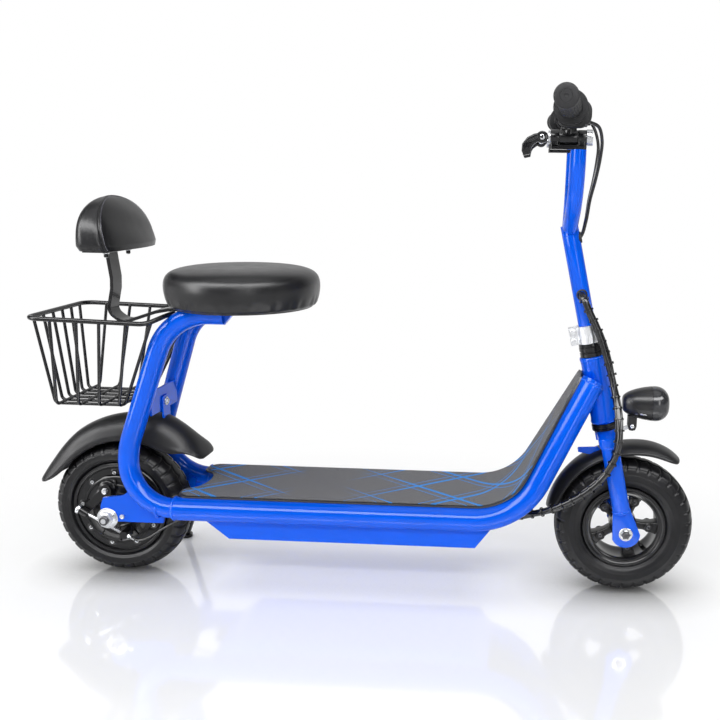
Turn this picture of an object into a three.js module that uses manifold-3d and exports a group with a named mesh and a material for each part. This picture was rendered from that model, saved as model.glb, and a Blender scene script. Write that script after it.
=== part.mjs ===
// Seated electric scooter: round seat with backrest, wire basket, deck, and two folding handlebar halves.
// Millimetres: +X forward, +Y to the rider's left, +Z up, the ground at Z = 0.
// Everything is laid out from the rear axle, and the last lines centre the whole object.
import * as THREE from 'three';
import { mergeVertices } from 'three/addons/utils/BufferGeometryUtils.js';
import Module from 'manifold-3d';

const wasm = await Module();
wasm.setup();

const { PI, cos, sin, tan, sqrt } = Math;

// Driving dimensions
const wheelbase = 946;
const tyreRadius = 127;
const rakeAngle = THREE.MathUtils.degToRad(12.3);
const fitGap = 0.3;
const runningGap = 0.5;
const overrun = 20;
const bendStep = THREE.MathUtils.degToRad(21);
const wireBendStep = THREE.MathUtils.degToRad(38);

// Wheels
const tyreHalfWidth = 33;
const treadHalfWidth = 11;
const shoulderDrop = 9;
const tyreWall = 6;
const tyreSegments = 32;
const beadHalfWidth = 23;
const frontTyreHeight = 51.7;
const rearTyreHeight = 38;
const frontFlangeRadius = tyreRadius - frontTyreHeight;
const rearFlangeRadius = tyreRadius - rearTyreHeight;
const flangeHeight = 5;
const flangeThickness = 4.5;
const rimHalfWidth = 28.5;
const rimWall = 7;
const frontHubRadius = 21;
const frontHubHalfLength = 31;
const spokeCount = 5;
const spokeWidth = 15;
const spokeThickness = 24;
const firstSpokeAngle = THREE.MathUtils.degToRad(66);
const rimBoltRadius = 5;
const rimBoltShare = 0.745;
const rimBoltHead = 3;
const spindleRadius = 8;

// Rear hub motor and drum brake
const hubBossRadius = 26;
const hubBossHeight = 3;
const sideDiscThickness = 9;
const magnetWall = 13;
const drumWall = 22;
const magnetRadius = rearFlangeRadius - magnetWall;
const drumRadius = magnetRadius - drumWall;
const drumDepth = 22.5;
const drumFloor = 4;
const statorGap = 1;
const statorClearance = 2.5;
const backingRim = 12;
const backingRadius = drumRadius + backingRim;
const backingThickness = 3;
const backingGap = 1.5;
const sleeveRadius = 13;
const shoeGap = 2;
const shoeThickness = 8;
const shoeDepth = 16;
const shoeSplit = 12;
const camX = -16;
const camZ = 41;
const camBossRadius = 13;
const camBossHeight = 7;
const camPinRadius = 5;
const camPinLength = 5;
const armThickness = 5;
const armHubRadius = 11;
const armEndX = -58;
const armEndZ = 1;
const armEndRadius = 8;
const adjusterRadius = 7.5;
const adjusterLength = 18;
const anchorX = 18;
const anchorZ = -41;
const anchorHalfSize = 6.5;
const brakeCableY = -50;
const brakeCableRadius = 2.2;
const anchorBore = 3;

// Axles and the plates that carry them
const dropoutY = 69;
const dropoutThickness = 6;
const dropoutLength = 124;
const dropoutHeight = 79;
const dropoutRearX = -12;
const dropoutDrop = 6;
const axleNeckRadius = 5.9;
const axleShoulderRadius = 11;
const axleSlotRadius = 6.3;
const washerRadius = 17;
const washerThickness = 2.7;
const nutRadius = 12.5;
const nutHeight = 9;
const nutSides = 6;
const stubLength = 6;
const frontSpacerRadius = 9.5;
const frontWasherRadius = 12;
const frontWasherThickness = 2;
const frontNutRadius = 9.5;
const frontNutHeight = 5;

// Frame tubes
const runRadius = 21;
const runHeight = 157;
const runHalfSpacing = 91;
const runRearX = 135.3;
const frontCornerBack = 194;
const frontCornerX = wheelbase - frontCornerBack;
const frontBend = 78;
const slopeTopBack = 66;
const slopeTopX = wheelbase - slopeTopBack;
const slopeTopZ = 399;
const slopeTopHalfSpacing = 23;
const mastRadius = 18;
const mastTopX = 231;
const mastTopZ = 507.5;
const mastTopHalfSpacing = 60;
const mastCornerX = 131;
const mastTopBend = 72;
const mastKneeX = 49;
const mastKneeZ = 262;
const mastKneeHalfSpacing = 77;
const mastKneeBend = 22;
const mastHeelX = 53;
const mastHeelBend = 81;
const headTubeRadius = 23;
const headTubeBore = 18;
const headTubeLength = 124;
const lowerHeadsetHeight = 12.4;
const lowerHeadsetRadius = 24;
const upperHeadsetHeight = 24.4;
const upperHeadsetRadius = 21.5;
const gussetX = 84;
const gussetThickness = 4;
const gussetHalfWidth = 58;
const gussetRise = 64;
const gussetBottomZ = 2 * tyreRadius + gussetRise;
const gussetHeight = 44;

// Deck, battery tray and what it holds
const deckThickness = 3;
const deckOverhang = 3;
const deckRearX = 137;
const notchDepth = 24;
const notchHalfWidth = 48;
const notchCorner = 12;
const rampTopCut = 22;
const matThickness = 1.2;
const matInset = 4;
const crossBarX = 206;
const crossBarFrontBack = 334;
const crossBarFrontX = wheelbase - crossBarFrontBack;
const crossBarWidth = 22;
const crossBarDepth = 20;
const trayHalfWidth = 88;
const trayDrop = 56;
const trayGap = 1;
const trayBottomZ = runHeight - trayDrop;
const trayTopZ = runHeight - runRadius - trayGap;
const trayWall = 2.5;
const trayRearTopX = 187;
const trayRearBottomX = 230;
const trayFrontBottomBack = 269;
const trayFrontTopBack = 243;
const trayFrontBottomX = wheelbase - trayFrontBottomBack;
const trayFrontTopX = wheelbase - trayFrontTopBack;
const trayStrapWidth = 10;
const trayStrapThickness = 5;
const trayStrapHalfSpacing = 66;
const batteryRearGap = 30;
const batteryFrontGap = 12;
const batteryHalfWidth = 64;
const batteryHeight = 46;
const controllerFrontGap = 27;
const controllerLength = 88;
const controllerHalfWidth = 42;
const controllerHeight = 28;
const controllerX = trayFrontBottomX - controllerFrontGap - controllerLength;
const batteryX = trayRearBottomX + batteryRearGap;
const batteryLength = controllerX - batteryFrontGap - batteryX;

// Seat
const seatX = 246;
const seatRadius = 137;
const seatBottomZ = 515.5;
const seatHeight = 73.5;
const seatRecessRadius = 113;
const seatRecessDepth = 25;
const mountPlateThickness = 4;
const mountPlateX = 168;
const mountPlateLength = 158;
const mountPlateHalfWidth = 70;
const ribLength = 30;
const ribDepth = 35;
const ribHalfThickness = 7;
const seatBoardRadius = 110;

// Backrest
const backBarWidth = 36;
const backBarThickness = 6;
const padBottomZ = 615.5;
const padHeight = 92;
const padHalfWidth = 105;
const padRearX = -12;
const padDepth = 66;
const padTopDepth = 30;
const padPlateX = -5;
const padPlateDepth = 45;
const padPlateThickness = 3;
const padPlateHalfWidth = 84;
const studRadius = 4;
const studLength = 12;
const studHalfSpacing = 43;
const studX = 17;

// Basket
const rimWireRadius = 3.2;
const wireRadius = 2.4;
const basketHalfWidth = 105;
const basketRearX = -105;
const basketSideX = 108;
const basketFrontX = 131;
const basketRimZ = 500;
const basketRimSag = 6;
const basketFrontZ = 505;
const basketDipZ = 498;
const basketFrontHalf = 76;
const basketDipOuter = 42;
const basketDipInner = 26;
const rimBends = [22, 14, 12, 4, 4, 4, 4, 12, 14, 22];
const crossWireBend = 10;
const crossWireTops = [-62, -15, 25, 72];
const crossWireBottoms = [-75, -35, 3, 39];
const longWireBend = 8;
const longWireSpans = [
  { rear: 80, floor: 60, front: 96, frontX: 115, frontZ: 498 },
  { rear: 48, floor: 36, front: 42, frontX: 131, frontZ: 505 },
  { rear: 16, floor: 12, front: 14, frontX: 131, frontZ: 498 },
];
const basketFloorZ = 341;
const floorRearX = -88;
const floorFrontX = 41;
const floorHalfWidth = 80;

// Fenders
const fenderThickness = 2.6;
const rearFenderHalfWidth = 42;
const frontFenderHalfWidth = 37;
const fenderTabHalfWidth = 20;
const fenderTabThickness = 3;
const fenderTabHeight = 60;
const fenderBoltRadius = 6;
const fenderBoltHead = 3;
const fenderBossRadius = 9;

// Fork and stem, measured along the steering axis from the front axle
const crownGap = 38;
const crownBottom = tyreRadius + crownGap;
const crownHeight = 19;
const crownHalfDepth = 18;
const crownHalfLength = 72;
const legSpacing = 56.5;
const legRadius = 15.5;
const legBottom = 42;
const forkEndRadius = 26;
const forkEndThickness = 8;
const forkTongueHalfWidth = 12;
const steererRadius = 14.3;
const clampHeight = 32;
const clampRadius = 21.5;
const clampEarReach = 34;
const clampEarHalfWidth = 9;
const clampSlit = 3;
const clampBoltRadius = 3.4;
const clampBoltHead = 4;
const steererInClamp = 15.5;
const stemRadius = 15.5;
const stemBore = 12.5;
const stemTop = 556;
const stemCap = 4;
const loomHoleZ = 551;
const loomHoleRadius = 9.6;
const cableHoleZ = 644;
const cableHoleRadius = 9;

// Handlebar: X counts from the front axle, as it does for the headlight and its cords
const postRadius = 13;
const barHalfSpacing = 80;
const postRootX = -117;
const postRootZ = 666;
const postRootY = 12;
const postElbowX = -112;
const postElbowZ = 724;
const postBend = 50;
const postTopX = -111;
const saddleZ = 795;
const saddleThickness = 6.4;
const saddleHalfWidth = 10;
const barrelX = -128;
const barrelZ = 814;
const barrelRadius = 12;
const barrelHalfLength = 29;
const knuckleLength = 14;
const knucklePlay = 0.4;
const pinRadius = 4.6;
const pinBore = 5;
const pinHeadRadius = 13;
const pinHeadLength = 10;
const pinWasherRadius = 10.5;
const pinWasherLength = 3.2;
const leverPinX = -170.5;
const leverDiscRadius = 9;
const leverHalfWidth = 9;
const eyeHalfWidth = 3;
const eyeRadius = 6.5;
const neckHalfHeight = 4;
const crossPinRadius = 3;
const leverLength = 38;
const leverHook = 34;
const barRadius = 11.1;
const barElbowX = -122;
const barElbowZ = 853;
const barBend = 22;
const barEndX = -140;
const barEndY = 268;
const barEndZ = 861;
const gripRadius = 17.5;
const gripLipRadius = 18.4;
const gripFlangeRadius = 27;
const gripFlangeThickness = 5;
const gripStart = 66;
const gripEndWall = 3;
const gripEndHole = 3;
const housingX = -149;
const housingDepth = 54;
const housingInnerY = 116;
const housingWidth = 24;
const housingZ = 826;
const housingHeight = 43;
const housingCorner = 9;
const buttonRadius = 4.5;
const buttonLength = 8;
const buttonProud = 3.2;
const buttonTravelRoom = 3;
const upperButtonZ = 854;
const lowerButtonZ = 838;
const leverRingRadius = 17;
const leverRingStart = 38;
const leverRingLength = 18;
const leverPivotX = -88;
const leverPivotY = 128;
const leverPinRadius = 2.6;
const leverEyeRadius = 7;
const leverBladeHeight = 6;
const leverCheek = 3.2;
const leverForkHalfWidth = 8;
const leverTipX = -93;
const leverTipY = 262;
const leverBladeWidth = 11;

// Headlight
const lampX = -11;
const lampSplitX = 40;
const lampFrontX = 72;
const lampZ = 355;
const lampHalfHeight = 31;
const lampHalfWidth = 33;
const lampSides = 20;
const lampPivotX = 8;
const lampPivotZ = 313;
const lampPinRadius = 3;
const lampTongueHalfWidth = 3;
const lampLugThickness = 4;
const lampLugHalfDepth = 8;
const lampFootHalfWidth = 20;
const lampFootThickness = 4;

// Kickstand
const standX = 110;
const standDrop = 27;
const standZ = runHeight - standDrop;
const standLugY = 82;
const standLugThickness = 16;
const standLugHalfLength = 10;
const standLugHeight = 26;
const standPinRadius = 5;
const standPinHead = 8;
const standPinHeadLength = 3;
const standEyeRadius = 10;
const standEyeLength = 12;
const standFootX = 52;
const standFootY = 150;
const standFootRadius = 13;
const standFootHeight = 6;
const standLegRadius = 7;

// Cords
const loomRadius = 6.5;
const cableRadius = 2.8;
const cableHalfSpacing = 3.8;

const point = (x, y, z) => new THREE.Vector3(x, y, z);

// Merges shared corners and turns every face outwards
function closed(geometry) {
  const bare = geometry.clone();
  bare.deleteAttribute('normal');
  bare.deleteAttribute('uv');
  const merged = mergeVertices(bare);
  const place = merged.attributes.position;
  const source = merged.index.array;
  const corner = [point(0, 0, 0), point(0, 0, 0), point(0, 0, 0)];
  const index = [];
  let volume = 0;
  for (let i = 0; i < source.length; i += 3) {
    const face = [source[i], source[i + 1], source[i + 2]];
    if (new Set(face).size < 3) continue;
    index.push(...face);
    face.forEach((v, k) => corner[k].fromBufferAttribute(place, v));
    volume += corner[0].dot(corner[1].cross(corner[2]));
  }
  if (volume < 0) index.reverse();
  merged.setIndex(index);
  return merged;
}

function solidOf(geometry) {
  const shape = closed(geometry);
  return new wasm.Manifold(new wasm.Mesh({
    numProp: 3,
    vertProperties: new Float32Array(shape.attributes.position.array),
    triVerts: new Uint32Array(shape.index.array),
  }));
}

function geometryOf(solid) {
  const mesh = solid.getMesh();
  const geometry = new THREE.BufferGeometry();
  geometry.setAttribute('position', new THREE.BufferAttribute(new Float32Array(mesh.vertProperties), 3));
  geometry.setIndex(new THREE.BufferAttribute(new Uint32Array(mesh.triVerts), 1));
  return geometry;
}

const joined = (...shapes) => geometryOf(shapes.map(solidOf).reduce((sum, next) => sum.add(next)));
const common = (shape, other) => geometryOf(solidOf(shape).intersect(solidOf(other)));

function cutBy(shape, ...tools) {
  return geometryOf(tools.map(solidOf).reduce((rest, tool) => rest.subtract(tool), solidOf(shape)));
}

function largestPart(shape) {
  const parts = solidOf(shape).decompose();
  return geometryOf(parts.sort((a, b) => b.volume() - a.volume())[0]);
}

function polygon(radius, sides) {
  const corners = Array.from({ length: sides }, (_, i) => {
    const a = (2 * PI * i) / sides;
    return new THREE.Vector2(radius * cos(a), radius * sin(a));
  });
  return new THREE.Shape(corners);
}

const outlineShape = (outline) => new THREE.Shape(outline.map(([x, y]) => new THREE.Vector2(x, y)));

function rectangle(width, height) {
  const [x, y] = [width / 2, height / 2];
  return outlineShape([[-x, -y], [x, -y], [x, y], [-x, y]]);
}

// A path whose sections stand exactly at the given points
class Route extends THREE.Curve {
  constructor(points, loop = false) {
    super();
    this.points = points;
    this.loop = loop;
    this.spans = loop ? points.length : points.length - 1;
  }

  at(i) {
    const count = this.points.length;
    return this.points[this.loop ? (i + count) % count : Math.min(Math.max(i, 0), count - 1)];
  }

  getPointAt(u) {
    return this.at(Math.round(u * this.spans)).clone();
  }

  getTangentAt(u) {
    const i = Math.round(u * this.spans);
    const before = this.at(i).clone().sub(this.at(i - 1)).normalize();
    const after = this.at(i + 1).clone().sub(this.at(i)).normalize();
    return before.add(after).normalize();
  }
}

// Rounds each corner of a path to an arc that starts the given length before the corner
function rounded(corners, cuts, loop = false, bend = bendStep) {
  const count = corners.length;
  return corners.flatMap((corner, i) => {
    if (!loop && (i === 0 || i === count - 1)) return [corner];
    const cut = Array.isArray(cuts) ? cuts[i] : cuts;
    const back = corners[(i + count - 1) % count].clone().sub(corner).normalize();
    const ahead = corners[(i + 1) % count].clone().sub(corner).normalize();
    const turn = PI - back.angleTo(ahead);
    const steps = Math.max(1, Math.ceil(turn / bend));
    const start = corner.clone().addScaledVector(back, cut);
    const end = corner.clone().addScaledVector(ahead, cut);
    return Array.from({ length: steps + 1 }, (_, k) => {
      const t = k / steps;
      const [a, b, c] = [(1 - t) ** 2, 2 * t * (1 - t) * cos(turn / 2), t ** 2];
      const sum = start.clone().multiplyScalar(a).addScaledVector(corner, b).addScaledVector(end, c);
      return sum.divideScalar(a + b + c);
    });
  });
}

function swept(shape, points) {
  const path = new Route(points);
  return new THREE.ExtrudeGeometry(shape, { steps: path.spans, extrudePath: path });
}

const tube = (points, radius, sides) => swept(polygon(radius, sides), points);

function loopWire(points, radius, sides) {
  const path = new Route(points, true);
  return new THREE.TubeGeometry(path, path.spans, radius, sides, true);
}

// A cord through a hand-chosen list of points
function cord(points, radius, spans) {
  const curve = new THREE.CatmullRomCurve3(points.map((p) => point(...p)), false, 'centripetal');
  return tube(curve.getSpacedPoints(spans), radius, 8);
}

function rod(start, end, radius, sides = 16) {
  const along = end.clone().sub(start);
  const geometry = new THREE.CylinderGeometry(radius, radius, along.length(), sides);
  geometry.applyQuaternion(new THREE.Quaternion().setFromUnitVectors(point(0, 1, 0), along.normalize()));
  const middle = start.clone().add(end).divideScalar(2);
  return geometry.translate(middle.x, middle.y, middle.z);
}

const rodX = (y, z, x0, x1, radius, sides = 16) => rod(point(x0, y, z), point(x1, y, z), radius, sides);
const rodY = (x, z, y0, y1, radius, sides = 16) => rod(point(x, y0, z), point(x, y1, z), radius, sides);
const rodZ = (x, y, z0, z1, radius, sides = 16) => rod(point(x, y, z0), point(x, y, z1), radius, sides);

// Turns an outline of [radius, place along the axis] points about the Y axis
function turned(outline, segments, startAngle = 0) {
  const corners = outline.map(([radius, along]) => new THREE.Vector2(radius, along));
  return new THREE.LatheGeometry(corners, segments, startAngle);
}

function ring(inner, outer, low, high, segments) {
  return turned([[inner, low], [outer, low], [outer, high], [inner, high], [inner, low]], segments);
}

function box(x0, x1, y0, y1, z0, z1) {
  const geometry = new THREE.BoxGeometry(x1 - x0, y1 - y0, z1 - z0);
  return geometry.translate((x0 + x1) / 2, (y0 + y1) / 2, (z0 + z1) / 2);
}

// A plate lying in the XY plane, from Z = low to Z = high
function flatPlate(outline, low, high) {
  const options = { depth: high - low, bevelEnabled: false };
  const geometry = new THREE.ExtrudeGeometry(outlineShape(outline), options);
  return geometry.translate(0, 0, low);
}

// A plate standing in the XZ plane, from Y = low to Y = high
const sidePlate = (outline, low, high) => flatPlate(outline, -high, -low).rotateX(PI / 2);

// Skins a row of rings with the same number of points, and closes both ends with a fan
function lofted(rings) {
  const count = rings[0].length;
  const places = rings.flat().flatMap((p) => [p.x, p.y, p.z]);
  const index = [];
  for (let i = 0; i < rings.length - 1; i += 1) {
    for (let j = 0; j < count; j += 1) {
      const a = i * count + j;
      const b = i * count + ((j + 1) % count);
      index.push(a, b, b + count, a, b + count, a + count);
    }
  }
  [0, rings.length - 1].forEach((row) => {
    const middle = rings[row].reduce((sum, p) => sum.add(p), point(0, 0, 0)).divideScalar(count);
    const hub = places.length / 3;
    places.push(middle.x, middle.y, middle.z);
    for (let j = 0; j < count; j += 1) {
      const a = row * count + j;
      const b = row * count + ((j + 1) % count);
      index.push(...(row === 0 ? [hub, b, a] : [hub, a, b]));
    }
  });
  const geometry = new THREE.BufferGeometry();
  geometry.setAttribute('position', new THREE.Float32BufferAttribute(places, 3));
  geometry.setIndex(index);
  return geometry;
}

const blue = { color: 0x0a55f0, roughness: 0.25, metalness: 0.1 };
const black = { color: 0x171717, roughness: 0.5, metalness: 0.1 };
const rubber = { color: 0x262628, roughness: 0.85, metalness: 0 };
const leather = { color: 0x2c2c2e, roughness: 0.5, metalness: 0 };
const steel = { color: 0xb9bcc0, roughness: 0.35, metalness: 0.9 };
const aluminium = { color: 0xd4d6d9, roughness: 0.4, metalness: 0.9 };
const darkMetal = { color: 0x2e2f32, roughness: 0.5, metalness: 0.6 };
const gripTape = { color: 0x58595d, roughness: 0.95, metalness: 0 };
const lampGlass = { color: 0x33363a, roughness: 0.1, metalness: 0 };

const scooter = new THREE.Group();
const rearWheel = new THREE.Group();
rearWheel.position.set(0, 0, tyreRadius);
const frontEnd = new THREE.Group();
frontEnd.position.set(wheelbase, 0, 0);
const frontWheel = new THREE.Group();
frontWheel.position.set(0, 0, tyreRadius);
const raked = new THREE.Group();
raked.position.copy(frontWheel.position);
raked.rotation.y = -rakeAngle;
frontEnd.add(frontWheel, raked);
scooter.add(rearWheel, frontEnd);
scooter.updateMatrixWorld(true);

function piece(parent, name, geometry, look) {
  const mesh = new THREE.Mesh(closed(geometry), new THREE.MeshStandardMaterial(look));
  mesh.name = name;
  parent.add(mesh);
}

const sideName = (side) => (side < 0 ? 'right' : 'left');
const upright = (geometry) => geometry.rotateX(PI / 2);
const inScooter = (geometry) => geometry.clone().applyMatrix4(raked.matrixWorld);
const inFrontEnd = (geometry) => geometry.clone().applyMatrix4(raked.matrix);
const steeringX = (z) => (tyreRadius - z) * tan(rakeAngle);
const mirrorY = (geometry) => geometry.clone().scale(1, -1, 1);
const bySide = (side, rightShape) => (side < 0 ? rightShape : mirrorY(rightShape));

// A solid bar along the steering axis that cuts tubes to fit round what stands there
function axisCutter(radius, low, high) {
  return upright(turned([[0, low], [radius, low], [radius, high], [0, high]], 32));
}

const crownTop = crownBottom + crownHeight;
const headTubeBottom = crownTop + lowerHeadsetHeight + 2 * fitGap;
const headTop = headTubeBottom + headTubeLength;
const clampBottom = headTop + upperHeadsetHeight + 2 * fitGap;
const steererTop = clampBottom + steererInClamp;
const stemBottom = steererTop + fitGap;

// Frame tubes: the rider's right side, mirrored for the left
const runRoute = rounded([
  point(runRearX, -runHalfSpacing, runHeight),
  point(frontCornerX, -runHalfSpacing, runHeight),
  point(slopeTopX, -slopeTopHalfSpacing, slopeTopZ),
], frontBend);
const mastRoute = rounded([
  point(mastTopX, -mastTopHalfSpacing, mastTopZ),
  point(mastCornerX, -mastTopHalfSpacing, mastTopZ),
  point(mastKneeX, -mastKneeHalfSpacing, mastKneeZ),
  point(mastHeelX, -runHalfSpacing, runHeight),
  point(runRearX - fitGap, -runHalfSpacing, runHeight),
], [0, mastTopBend, mastKneeBend, mastHeelBend, 0]);
const mastSolid = tube(mastRoute, mastRadius, 14);
const mastRoom = tube(mastRoute, mastRadius + fitGap, 14);

const runTube = cutBy(
  tube(runRoute, runRadius, 16),
  inScooter(axisCutter(headTubeRadius + fitGap, headTubeBottom - 2 * overrun, headTop + 2 * overrun)),
  box(
    slopeTopX - 4 * overrun,
    slopeTopX + 2 * overrun,
    -fitGap,
    2 * overrun,
    slopeTopZ - 4 * overrun,
    slopeTopZ + 2 * overrun,
  ),
);

const dropoutShares = [
  [0, 0], [0.935, 0], [1, 0.456], [0.831, 0.582], [0.702, 0.785], [0.597, 1],
  [0.5, 0.873], [0.403, 0.696], [0.339, 0.633], [0.048, 0.57], [0, 0.367],
];

function dropoutPlate() {
  const outline = dropoutShares.map(([x, z]) => [
    dropoutRearX + x * dropoutLength,
    tyreRadius - dropoutDrop + z * dropoutHeight,
  ]);
  const outer = -dropoutY - dropoutThickness;
  const plate = sidePlate(outline, outer, -dropoutY);
  const slot = box(
    dropoutRearX - overrun,
    0,
    outer - overrun,
    overrun - dropoutY,
    tyreRadius - axleSlotRadius,
    tyreRadius + axleSlotRadius,
  );
  const eye = rodY(0, tyreRadius, outer - overrun, overrun - dropoutY, axleSlotRadius, 20);
  return largestPart(cutBy(plate, slot, eye, mastRoom));
}

// The kickstand's lug and pin are welded under the left mast tube
function standLug() {
  const pinEnd = standLugY + standLugThickness + standEyeLength + 2 * runningGap;
  return joined(
    box(
      standX - standLugHalfLength,
      standX + standLugHalfLength,
      standLugY,
      standLugY + standLugThickness,
      standZ - standLugHalfLength,
      standZ + standLugHeight,
    ),
    rodY(standX, standZ, standLugY, pinEnd + standPinHeadLength, standPinRadius),
    rodY(standX, standZ, pinEnd, pinEnd + standPinHeadLength, standPinHead),
  );
}

[-1, 1].forEach((side) => {
  const name = sideName(side);
  const mast = bySide(side, mastSolid);
  piece(scooter, `${name}_frame_tube`, bySide(side, runTube), blue);
  piece(scooter, `${name}_mast_tube`, side < 0 ? mast : joined(mast, standLug()), blue);
  piece(scooter, `${name}_dropout`, bySide(side, dropoutPlate()), blue);
});

piece(scooter, 'fender_gusset', cutBy(
  box(
    gussetX,
    gussetX + gussetThickness,
    -gussetHalfWidth,
    gussetHalfWidth,
    gussetBottomZ,
    gussetBottomZ + gussetHeight,
  ),
  mastRoom,
  mirrorY(mastRoom),
), blue);
piece(raked, 'head_tube', upright(ring(headTubeBore, headTubeRadius, headTubeBottom, headTop, 32)), blue);
piece(raked, 'lower_headset', upright(ring(
  steererRadius + fitGap,
  lowerHeadsetRadius,
  crownTop + fitGap,
  crownTop + lowerHeadsetHeight,
  28,
)), black);
piece(raked, 'upper_headset', upright(ring(
  steererRadius + fitGap,
  upperHeadsetRadius,
  headTop + fitGap,
  headTop + fitGap + upperHeadsetHeight,
  28,
)), black);

// Deck: one sheet that lies on the tubes and climbs between them to the head tube
const deckBottom = runRadius + fitGap;

// Points of the tube run shifted square to it, as [x, z]
function shiftedRun(distance) {
  const flat = runRoute.map((p) => [p.x, p.z]);
  return flat.map(([x, z], i) => {
    const [x0, z0] = flat[Math.max(i - 1, 0)];
    const [x1, z1] = flat[Math.min(i + 1, flat.length - 1)];
    const length = Math.hypot(x1 - x0, z1 - z0);
    return [x - ((z1 - z0) / length) * distance, z + ((x1 - x0) / length) * distance];
  });
}

function deckSheet(low, thickness, inset) {
  const profile = [...shiftedRun(low), ...shiftedRun(low + thickness).reverse()];
  const half = runHalfSpacing + deckOverhang - inset;
  const topHalf = slopeTopHalfSpacing + deckOverhang + rampTopCut / 2 - inset;
  const rear = deckRearX + inset;
  const notch = deckRearX + notchDepth + inset;
  const notchHalf = notchHalfWidth + inset;
  const side = [
    [notch, notchHalf - notchCorner],
    [notch - notchCorner, notchHalf],
    [rear, notchHalf + notchCorner / 2],
    [rear, half],
    [frontCornerX - runRadius, half],
    [slopeTopX - runRadius - rampTopCut - inset, topHalf],
  ];
  const plan = [...side, ...side.map(([x, y]) => [x, -y]).reverse()];
  return common(sidePlate(profile, -half, half), flatPlate(plan, 0, slopeTopZ + 2 * overrun));
}

const crossBars = [crossBarX, crossBarFrontX].map((x) => box(
  x,
  x + crossBarWidth,
  runRadius + fitGap - runHalfSpacing,
  runHalfSpacing - runRadius - fitGap,
  runHeight + deckBottom - crossBarDepth,
  runHeight + deckBottom + fitGap,
));
piece(scooter, 'deck_plate', joined(deckSheet(deckBottom, deckThickness, 0), ...crossBars), darkMetal);
const matBottom = deckBottom + deckThickness + fitGap;
piece(scooter, 'deck_grip_mat', deckSheet(matBottom, matThickness, matInset), gripTape);

function trayProfile(inset) {
  const floor = trayBottomZ + inset;
  const lip = trayTopZ + (inset ? overrun : 0);
  const height = trayTopZ - trayBottomZ;
  const rearSlope = (trayRearBottomX - trayRearTopX) / height;
  const frontSlope = (trayFrontTopX - trayFrontBottomX) / height;
  return [
    [trayRearBottomX + inset - (floor - trayBottomZ) * rearSlope, floor],
    [trayFrontBottomX - inset + (floor - trayBottomZ) * frontSlope, floor],
    [trayFrontBottomX - inset + (lip - trayBottomZ) * frontSlope, lip],
    [trayRearBottomX + inset - (lip - trayBottomZ) * rearSlope, lip],
  ];
}

const trayFloor = trayBottomZ + trayWall;
const strapXs = [trayRearBottomX + trayStrapWidth, trayFrontBottomX - 3 * trayStrapWidth];
const trayStraps = strapXs.flatMap((x) => [-trayStrapHalfSpacing, trayStrapHalfSpacing].map((y) => box(
  x,
  x + trayStrapWidth,
  y - trayStrapThickness / 2,
  y + trayStrapThickness / 2,
  trayFloor - fitGap,
  runHeight + deckBottom - fitGap,
)));
const trayShell = cutBy(
  sidePlate(trayProfile(0), -trayHalfWidth, trayHalfWidth),
  sidePlate(trayProfile(trayWall), trayWall - trayHalfWidth, trayHalfWidth - trayWall),
);
piece(scooter, 'battery_tray', joined(trayShell, ...trayStraps), blue);

function inTray(x, length, halfWidth, height) {
  const floor = trayFloor + fitGap;
  return box(x, x + length, -halfWidth, halfWidth, floor, floor + height);
}
piece(scooter, 'battery_pack', inTray(batteryX, batteryLength, batteryHalfWidth, batteryHeight), black);
piece(
  scooter,
  'motor_controller',
  inTray(controllerX, controllerLength, controllerHalfWidth, controllerHeight),
  darkMetal,
);

// Seat
const mountPlateZ = mastTopZ + mastRadius + fitGap;
const ribX = mastTopX + fitGap;
const ribs = [-mastTopHalfSpacing, mastTopHalfSpacing].map((y) => sidePlate([
  [ribX, mountPlateZ + fitGap],
  [ribX, mountPlateZ - ribDepth],
  [ribX + ribLength, mountPlateZ + fitGap],
], y - ribHalfThickness, y + ribHalfThickness));
piece(scooter, 'seat_mount_plate', joined(
  box(
    mountPlateX,
    mountPlateX + mountPlateLength,
    -mountPlateHalfWidth,
    mountPlateHalfWidth,
    mountPlateZ,
    mountPlateZ + mountPlateThickness,
  ),
  ...ribs,
), blue);
const boardZ = mountPlateZ + mountPlateThickness + fitGap;
const recessTop = seatBottomZ + seatRecessDepth;
piece(scooter, 'seat_base_board', rodZ(seatX, 0, boardZ, recessTop - fitGap, seatBoardRadius, 32), black);

// Shares of the seat's radius and height that give its crown, drawn-in side and lower roll
const seatShares = [
  [0, 1], [0.44, 0.99], [0.72, 0.945], [0.88, 0.86], [0.965, 0.71],
  [1, 0.52], [0.993, 0.32], [0.95, 0.12], [0.9, 0.015],
];
const seatOutline = [
  ...seatShares.map(([r, h]) => [r * seatRadius, seatBottomZ + h * seatHeight]),
  [seatRecessRadius, seatBottomZ],
  [seatRecessRadius, recessTop],
  [0, recessTop],
];
piece(scooter, 'seat_cushion', upright(turned(seatOutline, 36)).translate(seatX, 0, 0), leather);

// Backrest: a flat bar from under the seat plate to a small plate under the pad
const barTopZ = mountPlateZ - fitGap - backBarThickness / 2;
const padPlateTop = padBottomZ - fitGap;
const plateMiddleZ = padPlateTop - padPlateThickness / 2;
const backBarRoute = rounded([
  [5, plateMiddleZ],
  [12, 552],
  [0, 500],
  [26, 481],
  [99, 506],
  [141, 508],
  [167, barTopZ],
  [233, barTopZ],
].map(([x, z]) => point(x, 0, z)), [0, 10, 12, 12, 12, 8, 8, 0]);
const studs = [-studHalfSpacing, studHalfSpacing].map((y) => (
  rodZ(studX, y, plateMiddleZ - studLength, plateMiddleZ, studRadius, 12)
));
piece(scooter, 'backrest_post', joined(
  swept(rectangle(backBarWidth, backBarThickness), backBarRoute),
  box(
    padPlateX,
    padPlateX + padPlateDepth,
    -padPlateHalfWidth,
    padPlateHalfWidth,
    padPlateTop - padPlateThickness,
    padPlateTop,
  ),
  ...studs,
), black);

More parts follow.
